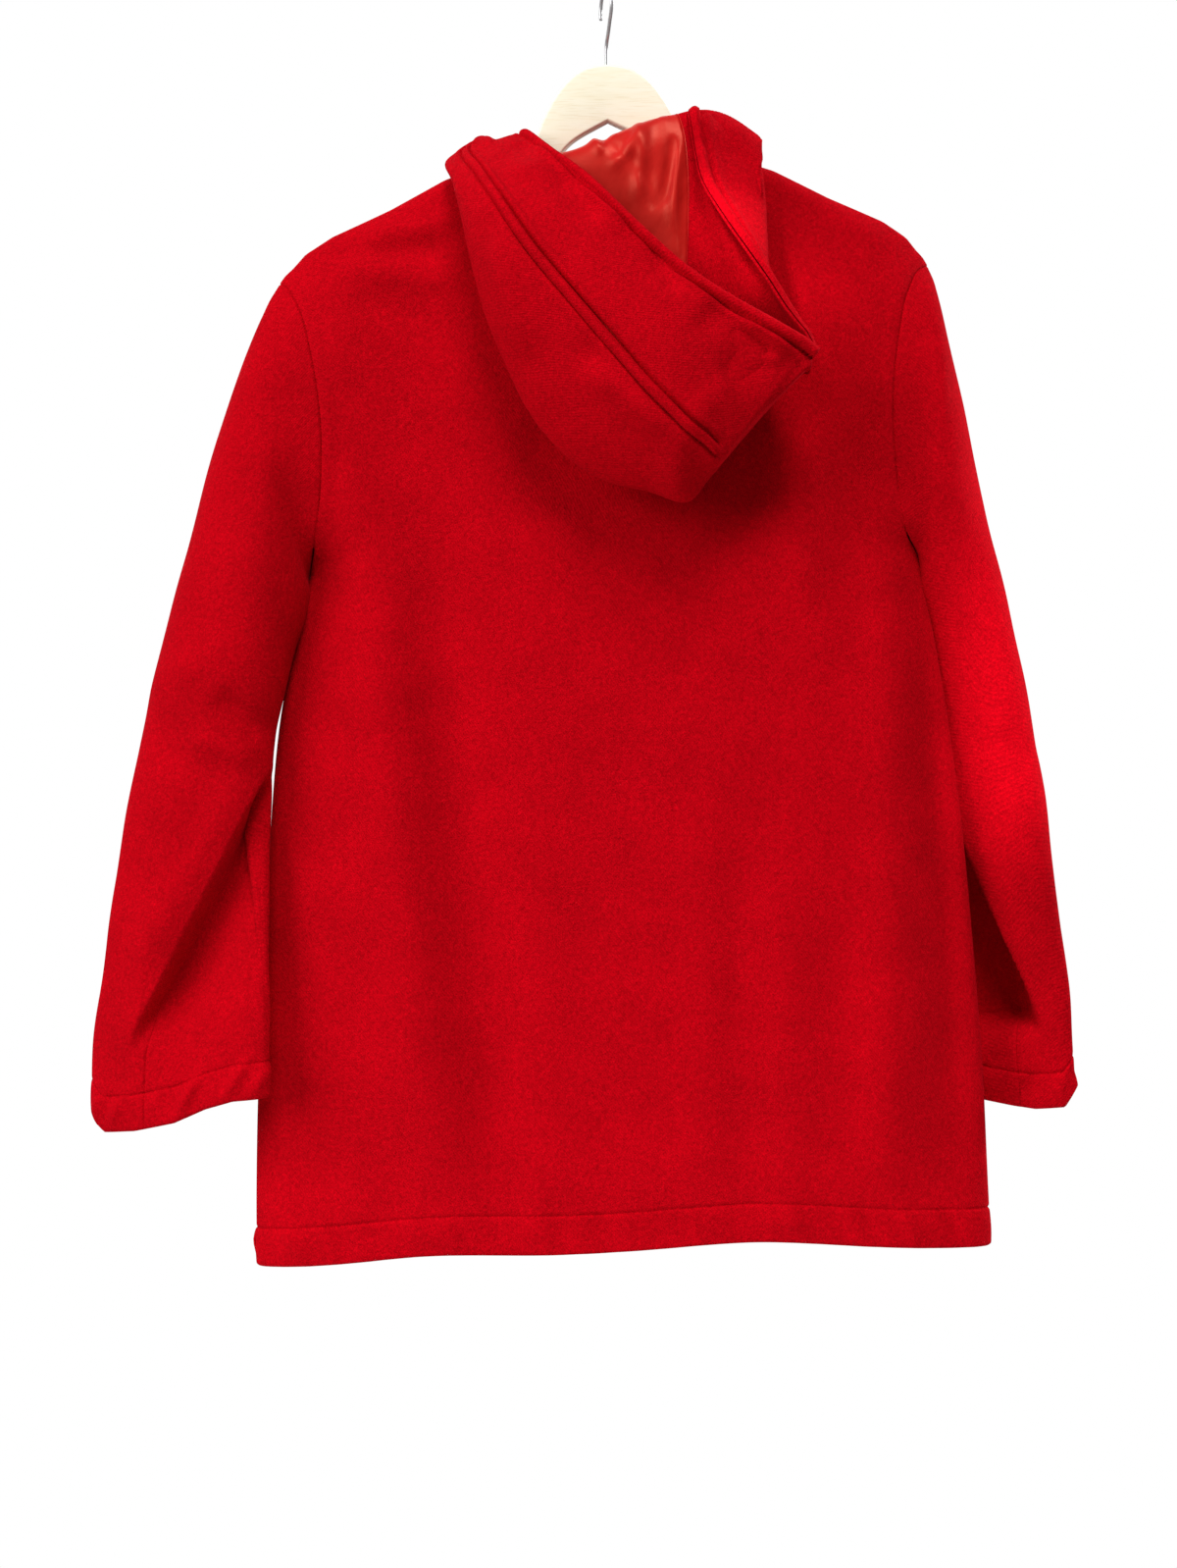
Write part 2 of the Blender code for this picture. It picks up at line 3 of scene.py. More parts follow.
import bpy
import numpy as np
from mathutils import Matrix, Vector


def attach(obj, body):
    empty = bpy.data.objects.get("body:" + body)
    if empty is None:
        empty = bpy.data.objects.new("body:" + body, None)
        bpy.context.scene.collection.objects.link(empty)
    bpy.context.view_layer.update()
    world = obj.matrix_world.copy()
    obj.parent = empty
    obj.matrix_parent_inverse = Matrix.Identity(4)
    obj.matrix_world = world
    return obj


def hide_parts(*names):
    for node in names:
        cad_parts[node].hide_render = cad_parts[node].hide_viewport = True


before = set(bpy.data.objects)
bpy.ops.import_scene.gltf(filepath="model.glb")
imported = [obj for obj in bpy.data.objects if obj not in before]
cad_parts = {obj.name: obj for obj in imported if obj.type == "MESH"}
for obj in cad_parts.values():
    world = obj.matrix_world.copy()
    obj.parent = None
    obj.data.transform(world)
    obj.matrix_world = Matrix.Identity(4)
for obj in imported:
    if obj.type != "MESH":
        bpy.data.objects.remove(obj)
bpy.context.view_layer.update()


# ---- The back ---------------------------------------------------------------------------
# One panel of thick felted red wool with no centre seam.  It is sewn to the fronts at the
# shoulders and sides and to the sleeves at the armholes; its hem is turned up and stitched.
MM = 0.001
TILT = math.radians(1.6)
TILT_CENTRE_Z = -58.0
WOOL_THICK = 2.6
EDGE_STEPS = (0.0, 0.35, 0.9, 1.7, 3.0)
EDGE_ROUND = 1.5

NECK_POINT = (74.0, -122.0)
SHOULDER_TIP = (231.0, -207.0)
BACK_NECK_Z = -134.0
FRONT_NECK_Z = -196.0
UNDERARM_Z = -415.0
UNDERARM_RISE = 20.0
ARMHOLE_BACK = 32.0
ARMHOLE_FRONT = 36.0
BACK_NECK_BULGE = 13.0
FRONT_NECK_BULGE = 24.0
NECK_SLOPE = 0.06
NECK_SPREAD = 1.5
BODY_ROUNDNESS = 2.6
SEAM_HALF = 0.15
SEAM_LAP = 0.45
HEM_BAND = 26.5
HEM_PUFF = 0.7
HEM_WAVE_TOP = -600.0
HEM_WAVE_FADE = 300.0
PUCKER_SPACING = 27.0
PUCKER_HEIGHT = 4.0
PUCKER_SLANT = 0.55
PUCKER_FADE = 25.0
RELIEF_FADE = 28.0
ARMHOLE_SWELL = 0.7
ARMHOLE_SWELL_PLACE = 7.0
ARMHOLE_SWELL_WIDTH = 4.5
INNER_ROUND = 0.55
HEM_WAVES = ((141, 56, 4), (-83, 80, 6.3))
STITCH_SINK = 1.0
STITCH_GROOVE = 1.1

BODY_ROWS = (
    # side_z  half_w  shift  depth  rise
    (-905, 262, 11, 39, 8),
    (-860, 261, 11, 39, 8),
    (-780, 258.5, 10, 39, 8),
    (-690, 253, 9, 40, 9),
    (-600, 246.5, 8.5, 40, 10),
    (-510, 236, 8, 40, 12),
    (-450, 224.5, 5.5, 39, 16),
)
ARMHOLE_ROWS = (
    # angle  half_w  shift  middle_depth
    (180, 217, 4, 38),
    (150, 210, 6.5, 36),
    (118, 202, 7, 33),
    (90, 200, 7, 29),
    (62, 206, 7, 24),
    (35, 216, 7, 18),
    (14, 226, 7, 10.5),
    (5, 231, 6, 3.8),
    (0, 231, 6, 0.8),
)
SHOULDER_LINE = (
    # x      share of the climb from the tip to the neck
    (231, 0),
    (214, 0.24),
    (196, 0.38),
    (156, 0.59),
    (117, 0.83),
    (74, 1),
)
BACK_CREASES = (
    # x0     z0      x1     z1    bow  width  depth
    (180, -325, 130, -905, -6, 27, 9),
    (134, -325, 82, -905, -6, 27, -9),
    (190, -330, 172, -440, -2, 16, 2.5),
    (40, -600, 26, -900, 0, 26, -2),
    (-48, -560, -44, -900, 0, 17, 2),
    (-82, -560, -78, -900, -3, 17, -2.4),
    (-114, -600, -112, -900, 0, 20, 1.8),
    (-126, -310, -128, -480, 0, 18, 4.5),
    (-166, -310, -168, -480, 0, 18, -4),
    (-184, -400, -174, -880, 2, 22, 6.5),
    (-232, -420, -222, -880, 2, 20, -7),
    (182, -180, 106, -170, -1.5, 8, 3.6),
    (176, -190, 104, -190, 2, 8, -2.2),
    (196, -198, 100, -216, -2, 9, 3.6),
    (182, -222, 96, -250, -3, 12, -2.2),
    (-150, -170, -196, -196, 1, 9, 1.6),
    (196, -400, 150, -470, 8, 15, 1.6),
    (-200, -410, -120, -520, -10, 18, 1.6),
)


def hung(points):
    """Millimetres to metres, turned by the hanger's tilt about its top."""
    x, y, z = np.moveaxis(np.asarray(points, float), -1, 0)
    z = z - TILT_CENTRE_Z
    return MM * np.stack([x * math.cos(TILT) + z * math.sin(TILT), y,
                          z * math.cos(TILT) - x * math.sin(TILT) + TILT_CENTRE_Z], axis=-1)


def run_along(points, axis):
    """Distance covered along one axis of an array of points, nought at its start."""
    steps = np.linalg.norm(np.diff(points, axis=axis), axis=-1)
    return np.concatenate([np.zeros_like(steps.take([0], axis)), np.cumsum(steps, axis)], axis)


def eased(share):
    """Nought to one, level at both ends: three squares less two cubes."""
    return share * share * (3 - 2 * share)


def faded(distance, width):
    """Nought at an edge, rising evenly to one over the width."""
    return np.clip(distance / width, 0.0, 1.0)


def smooth_through(knots, points, at):
    """Cubics through points at the knots, each slope the mean of its two neighbours."""
    fit = (-1,) + (1,) * (points.ndim - 1)
    gap = np.diff(knots).reshape(fit)
    pace = np.diff(points, axis=0) / gap
    inner = (gap[1:] * pace[:-1] + gap[:-1] * pace[1:]) / (gap[1:] + gap[:-1])
    pace = np.concatenate([pace[:1], inner, pace[-1:]])
    piece = np.clip(np.searchsorted(knots, at, side="right") - 1, 0, len(knots) - 2)
    width = np.diff(knots)[piece].reshape(fit)
    t = (at - knots[piece]).reshape(fit) / width
    return ((2 * t ** 3 - 3 * t ** 2 + 1) * points[piece]
            + (t ** 3 - 2 * t ** 2 + t) * pace[piece] * width
            + (3 * t ** 2 - 2 * t ** 3) * points[piece + 1]
            + (t ** 3 - t ** 2) * pace[piece + 1] * width)


def respaced(points, count, extra=()):
    """Every row spaced evenly along its length, and closely near its ends and the extras.

    An extra is a distance in millimetres from the row's start.  Extra points are added
    beside it, so that a stitched line keeps its shape."""
    run = run_along(points, 1)
    total = run[:, -1:]
    close = np.array(EDGE_STEPS)
    middle = np.linspace(0.0, 1.0, count)[1:-1] * (total - 2 * close[-1]) + close[-1]
    lines = np.array([line + step for line in extra
                      for step in (-3.0, -1.6, -0.8, 0.0, 0.8, 1.6, 3.0)])
    places = np.concatenate([close + 0 * total, middle, total - close[::-1],
                             lines + 0 * total], axis=1)
    places.sort(axis=1)
    made = [[np.interp(place, line, row[:, k]) for k in range(3)]
            for place, line, row in zip(places, run, points)]
    return np.moveaxis(np.array(made), 1, 2)


def respaced_up(grid, count, extra):
    """The same spacing, up each column."""
    return np.swapaxes(respaced(np.swapaxes(grid, 0, 1), count, extra), 0, 1)


def panel_grid(rows, across, along, along_extra=(), knots=None):
    """Rows carried into a smooth panel, spaced evenly both ways.

    Panels that share a seam are given the same knots, so that they meet all along it."""
    if knots is None:
        knots = run_along(rows, 0).mean(axis=1)
    dense = smooth_through(knots, rows, np.linspace(0.0, knots[-1], 4 * along))
    grid = respaced(dense, across)
    return respaced_up(grid, along, along_extra)


def facing(grid):
    """Unit normals: the way along a row crossed with the way up a column."""
    normal = np.cross(np.gradient(grid, axis=1), np.gradient(grid, axis=0))
    return normal / np.maximum(np.linalg.norm(normal, axis=2, keepdims=True), 1e-9)


def from_edges(grid):
    """Distances of each point from the first and last column and the first and last row."""
    across, along = run_along(grid, 1), run_along(grid, 0)
    return across, across[:, -1:] - across, along, along[-1:] - along


def edge_drop(distance, radius=EDGE_ROUND):
    """A quarter circle: how far a rounded edge has fallen at this distance from it."""
    short = np.clip(radius - distance, 0.0, radius)
    return radius - np.sqrt(radius ** 2 - short ** 2)


def bell(distance, width):
    """One at nought, dying away smoothly over the width."""
    return np.exp(-(distance / width) ** 2)


def beside_line(x, z, x0, z0, x1, z1):
    """Share of the way along a straight line, and distance to the side of it."""
    along_x, along_z = x1 - x0, z1 - z0
    length = math.hypot(along_x, along_z)
    share = ((x - x0) * along_x + (z - z0) * along_z) / length ** 2
    return share, ((x - x0) * along_z - (z - z0) * along_x) / length


def creases(x, z, rows):
    """Soft troughs and ridges: each follows a bowed line and dies away over its width."""
    total = np.zeros_like(x)
    for x0, z0, x1, z1, bow, width, depth in rows:
        share, aside = beside_line(x, z, x0, z0, x1, z1)
        inside = np.clip(share, 0.0, 1.0)
        aside = aside - bow * 4 * inside * (1 - inside)
        total = total + depth * bell(aside, width) * np.exp(-3 * np.abs(2 * share - 1) ** 5)
    return total


def overhang(x, z, rows):
    """Folds that lap over: the cloth drops in a short lip and comes back over its reach."""
    total = np.zeros_like(x)
    for x0, z0, x1, z1, lip, reach, depth in rows:
        share, aside = beside_line(x, z, x0, z0, x1, z1)
        drop = eased(faded(aside, lip))
        back = np.exp(-(np.clip(aside - lip, 0.0, None) / reach) ** 1.5)
        total = total - depth * drop * back * np.exp(-np.abs(2 * share - 1) ** 8)
    return total


def unevenness(x, z, seed, size, depth):
    """A slow wander of the surface: six sine waves of random lengths and ways, summed."""
    waves = np.random.default_rng(seed)
    total = np.zeros_like(x)
    for _ in range(6):
        way, phase = waves.uniform(0, math.pi), waves.uniform(0, 2 * math.pi)
        length = size * waves.uniform(0.7, 1.6)
        total = total + np.sin(2 * math.pi * (x * math.cos(way) + z * math.sin(way)) / length
                               + phase)
    return total * depth / 6 ** 0.5


def turned_up(height, along, band, seed):
    """A turned-up hem: the band puffs, its stitched line sinks and slant puckers cross it."""
    puff = HEM_PUFF * np.sin(math.pi * faded(height, band)) ** 0.7 * (height < band)
    line = -STITCH_SINK * bell(height - band, STITCH_GROOVE)
    waves = np.random.default_rng(seed)
    slant = along + PUCKER_SLANT * height
    pucker = np.zeros_like(height)
    for place in np.arange(along.min(), along.max(), PUCKER_SPACING):
        centre = place + waves.uniform(-7.0, 7.0)
        size = waves.uniform(0.25, 1.0) * waves.choice((-1.0, -1.0, 1.0))
        pucker = pucker + size * bell(slant - centre, waves.uniform(5.0, 9.0))
    pucker = pucker * faded(np.minimum(along, along.max() - along), PUCKER_FADE)
    return puff + line + PUCKER_HEIGHT * pucker * bell(height - 0.62 * band, 0.42 * band)


def stitched(distance):
    """A line of stitches beside an edge: a groove whose cloth swells a little on each side."""
    return -STITCH_SINK * bell(distance, STITCH_GROOVE) + 0.35 * bell(distance, 4.0)


def wall(name, grid, skin, relief, thick=WOOL_THICK, rolls=(1.0, 1.0, 1.0, 1.0)):
    """A closed panel: the grid with its relief, the same moved in, and the rim between.

    Rolls say how far each edge is rounded over, and how far it laps its neighbour, as sewn
    cloth presses together: first and last column, first and last row.  The UV map is the
    distance run across and along, in metres."""
    normal = facing(grid)
    near = from_edges(grid)
    drop = np.maximum.reduce([edge_drop(distance) * roll
                              for distance, roll in zip(near, rolls)])
    sewn = grid.copy()
    for axis, end, inside, roll in ((1, 0, 1, rolls[0]), (1, -1, -2, rolls[1]),
                                    (0, 0, 1, rolls[2]), (0, -1, -2, rolls[3])):
        edge = np.moveaxis(sewn, axis, 0)
        way = edge[end] - edge[inside]
        way = way / np.maximum(np.linalg.norm(way, axis=1, keepdims=True), 1e-9)
        edge[end] += SEAM_LAP * way * np.reshape(roll, (-1, 1))
    outer = sewn + normal * (relief - drop)[..., None]
    inner = sewn + normal * (relief - thick + INNER_ROUND * drop)[..., None]
    count_rows, count_columns = grid.shape[:2]
    index = np.arange(count_rows * count_columns).reshape(count_rows, count_columns)
    a, b, c, d = index[:-1, :-1], index[:-1, 1:], index[1:, 1:], index[1:, :-1]
    right_side = np.stack([a, b, c, d], axis=-1).reshape(-1, 4)
    wrong_side = right_side[:, ::-1] + index.size
    border = np.concatenate([index[0, :-1], index[:-1, -1], index[-1, :0:-1],
                             index[:0:-1, 0]])
    following = np.roll(border, -1)
    rim = np.stack([following, border, border + index.size, following + index.size], axis=-1)
    faces = np.concatenate([right_side, wrong_side, rim])
    points = hung(np.concatenate([outer.reshape(-1, 3), inner.reshape(-1, 3)]))
    flat = np.stack([run_along(grid, 1).ravel(), run_along(grid, 0).ravel()], axis=-1) * MM
    creased = np.stack([border, following], axis=-1)
    return solid(name, points, faces, skin, np.concatenate([flat, flat]),
                 np.concatenate([creased, creased + index.size]))


def solid(name, points, faces, skin, flat=None, creased=None):
    """A smooth-shaded object from points in metres and four-sided faces.

    Flat is the UV of each point; creased lists the pairs of points whose edge stays sharp."""
    mesh = bpy.data.meshes.new(name)
    mesh.vertices.add(len(points))
    mesh.vertices.foreach_set("co", points.astype(np.float32).ravel())
    mesh.loops.add(faces.size)
    mesh.loops.foreach_set("vertex_index", faces.astype(np.int32).ravel())
    mesh.polygons.add(len(faces))
    mesh.polygons.foreach_set("loop_start", np.arange(0, faces.size, 4, dtype=np.int32))
    mesh.polygons.foreach_set("use_smooth", np.ones(len(faces), bool))
    mesh.update(calc_edges=True)
    mesh.validate()
    if flat is not None:
        layer = mesh.uv_layers.new(name="cloth")
        layer.data.foreach_set("uv", flat[faces.ravel()].astype(np.float32).ravel())
    if creased is not None:
        ends = np.zeros(2 * len(mesh.edges), np.int32)
        mesh.edges.foreach_get("vertices", ends)
        keys = np.sort(ends.reshape(-1, 2), axis=1) @ (len(points), 1)
        sharp = np.isin(keys, np.sort(creased, axis=1) @ (len(points), 1))
        mesh.attributes.new("sharp_edge", "BOOLEAN", "EDGE").data.foreach_set("value", sharp)
    mesh.materials.append(skin)
    made = bpy.data.objects.new(name, mesh)
    bpy.context.scene.collection.objects.link(made)
    return made


def shader_of(name, colour, roughness, metallic=0.0):
    """A new material, its node tree and its Principled shader."""
    skin = bpy.data.materials.new(name)
    skin.use_nodes = True
    shader = skin.node_tree.nodes["Principled BSDF"]
    shader.inputs["Base Color"].default_value = (*colour, 1.0)
    shader.inputs["Roughness"].default_value = roughness
    shader.inputs["Metallic"].default_value = metallic
    return skin, skin.node_tree, shader


def add_node(tree, kind, **values):
    """A node with its inputs and settings filled in by name."""
    node = tree.nodes.new(kind)
    for name, value in values.items():
        if name in node.inputs:
            node.inputs[name].default_value = value
        else:
            setattr(node, name, value)
    return node


def mapped(tree, place, **values):
    """Coordinates turned or stretched by a Mapping node."""
    node = add_node(tree, "ShaderNodeMapping", **values)
    tree.links.new(place, node.inputs["Vector"])
    return node.outputs["Vector"]


def noise(tree, place, scale, detail=2.0, rough=0.55, distort=0.0):
    """A Noise texture on the given coordinates."""
    node = add_node(tree, "ShaderNodeTexNoise", Scale=scale, Detail=detail, Roughness=rough,
                    Distortion=distort)
    tree.links.new(place, node.inputs["Vector"])
    return node.outputs["Fac"]


def object_place(tree):
    """The Object coordinates, which stay with the piece."""
    return tree.nodes.new("ShaderNodeTexCoord").outputs["Object"]


def grey(level):
    """A neutral colour."""
    return level, level, level


def ramp(tree, value, low, high, low_colour, high_colour):
    """A colour that goes from one to another as the value goes from low to high."""
    node = tree.nodes.new("ShaderNodeValToRGB")
    node.color_ramp.elements[0].position = low
    node.color_ramp.elements[1].position = high
    node.color_ramp.elements[0].color = (*low_colour, 1.0)
    node.color_ramp.elements[1].color = (*high_colour, 1.0)
    tree.links.new(value, node.inputs["Fac"])
    return node.outputs["Color"]


def blended(tree, how, share, first, second):
    """Two colours mixed in one of the Mix node's ways."""
    node = tree.nodes.new("ShaderNodeMix")
    node.data_type = "RGBA"
    node.blend_type = how
    node.inputs["Factor"].default_value = share
    tree.links.new(first, node.inputs["A"])
    tree.links.new(second, node.inputs["B"])
    return node.outputs["Result"]


def bumped(tree, shader, layers):
    """Bump nodes chained one on the other; each layer is (height, strength, depth in metres)."""
    last = None
    for height, strength, depth in layers:
        node = add_node(tree, "ShaderNodeBump", Strength=strength, Distance=depth)
        tree.links.new(height, node.inputs["Height"])
        if last:
            tree.links.new(last, node.inputs["Normal"])
        last = node.outputs["Normal"]
    tree.links.new(last, shader.inputs["Normal"])


def red_wool():
    """Felted twill: a raised nap hides most of a diagonal weave."""
    skin, tree, shader = shader_of("red felted wool", (0.52, 0.0008, 0.006), 0.95)
    shader.inputs["Specular IOR Level"].default_value = 0.02
    shader.inputs["Sheen Weight"].default_value = 0.10
    shader.inputs["Sheen Roughness"].default_value = 0.5
    shader.inputs["Sheen Tint"].default_value = (1.0, 0.02, 0.05, 1.0)
    place = object_place(tree)
    flat = add_node(tree, "ShaderNodeUVMap", uv_map="cloth").outputs["UV"]
    fibres = noise(tree, place, 1100.0, 3.0, 0.65)
    tufts = noise(tree, place, 420.0, 3.0, 0.6, 0.4)
    clouds = noise(tree, place, 26.0, 4.0, 0.6)
    slanted = mapped(tree, flat, Rotation=(0.0, 0.0, math.radians(-38)))
    twill = add_node(tree, "ShaderNodeTexWave", Scale=200.0, Distortion=2.4, Detail=2.0,
                     wave_profile="SIN")
    twill.inputs["Detail Scale"].default_value = 1.4
    tree.links.new(slanted, twill.inputs["Vector"])
    colour = ramp(tree, fibres, 0.30, 0.72, (0.36, 0.0002, 0.0033), (0.66, 0.0009, 0.0080))
    mottle = ramp(tree, tufts, 0.28, 0.74, grey(0.72), grey(1.16))
    cloudy = ramp(tree, clouds, 0.30, 0.72, grey(0.90), grey(1.07))
    ribs = ramp(tree, twill.outputs["Fac"], 0.0, 1.0, grey(0.92), grey(1.05))
    for layer in (mottle, cloudy, ribs):
        colour = blended(tree, "MULTIPLY", 1.0, colour, layer)
    tree.links.new(colour, shader.inputs["Base Color"])
    bumped(tree, shader, ((tufts, 0.55, 0.0012), (twill.outputs["Fac"], 0.25, 0.0005),
                          (fibres, 0.5, 0.0006)))
    return skin


WOOL = red_wool()


def table(rows, at):
    """Two-column rows read off at the given places, straight between the rows."""
    rows = np.array(sorted(rows))
    return np.interp(at, rows[:, 0], rows[:, 1])


def seam_height(x, neck_z):
    """Height of the shoulder seam at x, or of the neckline between the neck points."""
    distance = np.abs(x)
    climb = NECK_POINT[1] - SHOULDER_TIP[1]
    shoulder = SHOULDER_TIP[1] + climb * table(SHOULDER_LINE, distance)
    neck = neck_z + (NECK_POINT[1] - neck_z) * (distance / NECK_POINT[0]) ** 2.2
    return np.where(distance >= NECK_POINT[0], shoulder, neck)


def body_rows(turn, side_of_body, neck_z, neck_bulge, armhole_depth):
    """Rows from the hem to the shoulder; turn runs from one side seam (1) to the other (-1).

    Each row is a flat oval: its depth is the root of one less the width's share to a power.
    Above the underarm it climbs towards the seam and takes up the neck's bulge, which fades
    faster out to the sides the lower the row lies."""
    share = np.sign(turn) * np.abs(np.sin(turn * math.pi / 2)) ** (2 / BODY_ROUNDNESS)
    hollow = np.maximum(1 - np.abs(share) ** BODY_ROUNDNESS, 0.0)
    rows = []
    for side_z, half, shift, depth, rise in BODY_ROWS:
        y = SEAM_HALF + (depth - SEAM_HALF) * hollow ** 0.5
        rows.append(np.stack([half * share + shift, y, side_z + rise * (1 - share ** 2)], -1))
    for angle, half, shift, depth in ARMHOLE_ROWS:
        climb = (1 + math.cos(math.radians(angle))) / 2
        edge_y = max(armhole_depth * math.sin(math.radians(angle)), SEAM_HALF)
        round_off = hollow ** (0.5 + 0.5 * min((180 - angle) / 60, 1.0))
        top_x = SHOULDER_TIP[0] * share
        low = UNDERARM_Z + UNDERARM_RISE * (1 - share ** 2)
        top = seam_height(top_x, neck_z)
        z = low + (top - low) * climb
        x = half * share + shift * (1 - climb * (1 - share ** 6))
        y = edge_y + (max(depth, SEAM_HALF) - edge_y) * round_off
        around = np.maximum(1 - (top_x / NECK_POINT[0]) ** 4, 0.0) ** (0.5 + 2.5 * (1 - climb))
        neck_y = SEAM_HALF + neck_bulge * around + NECK_SLOPE * (top - z)
        y = y + (neck_y - y) * around * climb ** NECK_SPREAD
        rows.append(np.stack([x, y, z], -1))
    return np.array(rows) * (1.0, side_of_body, 1.0)


back_rows = body_rows(np.linspace(1.0, -1.0, 321), 1.0, BACK_NECK_Z, BACK_NECK_BULGE,
                      ARMHOLE_BACK)
low = faded(HEM_WAVE_TOP - back_rows[..., 2], HEM_WAVE_FADE)
for centre, width, lift in HEM_WAVES:
    back_rows[..., 2] += lift * low * bell(back_rows[..., 0] - centre, width)
back_grid = panel_grid(back_rows, 150, 200, (HEM_BAND,))
left_edge, right_edge, from_hem, from_top = from_edges(back_grid)
back_x, back_z = back_grid[..., 0], back_grid[..., 2]
still_edges = eased(faded(np.minimum(np.minimum(left_edge, right_edge), from_top), RELIEF_FADE))
back_relief = creases(back_x, back_z, BACK_CREASES) * still_edges
back_relief += unevenness(back_x, back_z, 3, 95.0, 0.8) * still_edges
armhole = (bell(left_edge - ARMHOLE_SWELL_PLACE, ARMHOLE_SWELL_WIDTH)
           + bell(right_edge - ARMHOLE_SWELL_PLACE, ARMHOLE_SWELL_WIDTH))
back_relief += ARMHOLE_SWELL * faded(back_z - UNDERARM_Z, 40.0) * armhole
back_relief += turned_up(from_hem, left_edge, HEM_BAND, 11)
back = wall("jacket_back", back_grid, WOOL, back_relief)
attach(back, "root")
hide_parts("back")


# ---- The fronts -------------------------------------------------------------------------
# Two panels of the same wool.  The right one laps over the left one down the centre; its
# edge, like the left one's, is turned in and stitched, and both hems are turned up.
FRONT_LAP = 18.0
LAP_SINK = 3.5
EDGE_BAND = 9.0
LAP_COLUMNS = 9
LAP_SINK_END = 48.0
LAP_SINK_FADE = 22.0
BUTTON_COLUMN = -26
FRONT_CREASES = (
    # x0     z0      x1     z1    bow  width  depth
    (150, -380, 118, -850, 6, 26, -4.6),
    (186, -420, 178, -860, 4, 18, 3),
    (84, -470, 70, -870, 0, 26, 2.8),
    (-110, -400, -96, -860, -5, 26, -4.2),
    (-150, -440, -150, -860, 0, 22, 3),
    (-62, -560, -54, -880, 0, 18, 2.2),
    (-214, -500, -226, -820, 4, 18, -3.6),
    (206, -560, 214, -840, -4, 16, -3),
    (70, -190, 150, -230, 5, 9, -1.6),
    (-70, -190, -146, -228, -5, 9, -1.5),
    (40, -222, 120, -300, 8, 12, 1.5),
    (190, -400, 110, -470, 8, 14, -1.8),
    (-196, -410, -120, -500, -8, 16, -1.7),
)


def front_rows(side):
    """A front's rows, from its lapped edge past the centre to its side seam.

    The left one sinks in near the centre, to lie under the right one."""
    rows = body_rows(np.linspace(0.0, side, 161), -1.0, FRONT_NECK_Z, FRONT_NECK_BULGE,
                     ARMHOLE_FRONT)
    steps = np.linspace(side * FRONT_LAP, side * 2.0, LAP_COLUMNS)
    past = rows[:, :1] - steps[:, None] * (1, 0, 0)
    rows = np.concatenate([past, rows], axis=1)
    if side > 0:
        from_centre = rows[..., 0] - rows[:, LAP_COLUMNS:LAP_COLUMNS + 1, 0]
        beyond = faded(LAP_SINK_END - from_centre, LAP_SINK_FADE)
        rows[..., 1] += LAP_SINK * beyond * beyond * (3 - 2 * beyond)
        return rows
    return rows[:, ::-1]


armhole_edges = {}
for side, word in ((1.0, "left"), (-1.0, "right")):
    grid = panel_grid(front_rows(side), 90, 200, (HEM_BAND,))
    one_edge, other_edge, from_hem, from_top = from_edges(grid)
    from_lap, from_seam = (one_edge, other_edge) if side > 0 else (other_edge, one_edge)
    still = faded(np.minimum(from_seam, from_top), RELIEF_FADE)
    relief = creases(grid[..., 0], grid[..., 2], FRONT_CREASES) * still
    relief += unevenness(grid[..., 0], grid[..., 2], 5, 90.0, 0.7) * still
    relief += turned_up(from_hem, one_edge, HEM_BAND, 12) + stitched(from_lap - EDGE_BAND)
    front = wall(f"jacket_front_{word}", grid, WOOL, relief)
    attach(front, "root")
    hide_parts(f"front_{word}")
    seam_column = -1 if side > 0 else 0
    armhole_edges[word] = back_grid[:, -1 - seam_column], grid[:, seam_column]
under_buttons = grid[:, BUTTON_COLUMN]


# ---- The sleeves ------------------------------------------------------------------------
# Each is a wide top sleeve and a narrow under sleeve, sewn together down a front and a back
# seam and set into the armhole.  The cuff has no vent: it is turned up and stitched.
SLEEVE_ROWS = {
    "left": (
        # out_x  out_y  out_z   in_x   in_y   in_z  back  front
        (250, 0, -229, 222, 2, -419, 35, 38),
        (271, 0, -281, 220.5, 4, -427, 40, 42),
        (291, 0, -339, 222.5, 8, -444, 44, 44),
        (309, 0, -397, 232.5, 12, -470, 44, 42),
        (327, 1, -458, 241, 17, -503, 40, 36),
        (343, 2, -520, 247.5, 22, -539, 34, 30),
        (356, 4, -579, 249.3, 29, -585, 27, 25),
        (366, 5, -638, 251, 35, -638, 22, 20),
        (375, 6, -690, 253, 39, -688, 19, 16),
        (384, 7, -745, 253, 42, -736, 18, 14),
        (386, 8, -798, 254, 44, -780, 18, 14),
    ),
    "right": (
        (232, 0, -229, 212, -2, -419, 36, 38),
        (242, -2, -281, 212, -8, -428, 38, 42),
        (254, -5, -339, 211, -14, -444, 37, 40),
        (266, -9, -397, 213, -24, -470, 36, 36),
        (279.5, -12, -458, 211, -32, -502, 34, 32),
        (291.5, -15, -520, 206, -40, -540, 33, 28),
        (300.5, -18, -579, 198, -50, -586, 32, 24),
        (307.5, -20, -638, 194, -60, -640, 29, 20),
        (312.5, -20, -692, 192, -67, -692, 24, 17),
        (317, -18, -748, 191, -69, -745, 18, 15),
        (320, -16, -800, 190, -69, -790, 14, 15),
    ),
}
RING_POINTS = 16
CUFF_ANGLES = (0, 8, 20, 34, 46, 58, 69, 112, 180, 212, 235, 256, 277, 300, 322, 344)
BACK_SEAM, FRONT_SEAM = 6, 9
CUFF_BAND = 24.5
ELBOW_TUCK = 6.0
SEAM_SHOWS = 70.0
SEAM_SHOWS_FADE = 20.0
FRONT_SEAM_FADE = 10.0
SLEEVE_END_FADE = 26.0
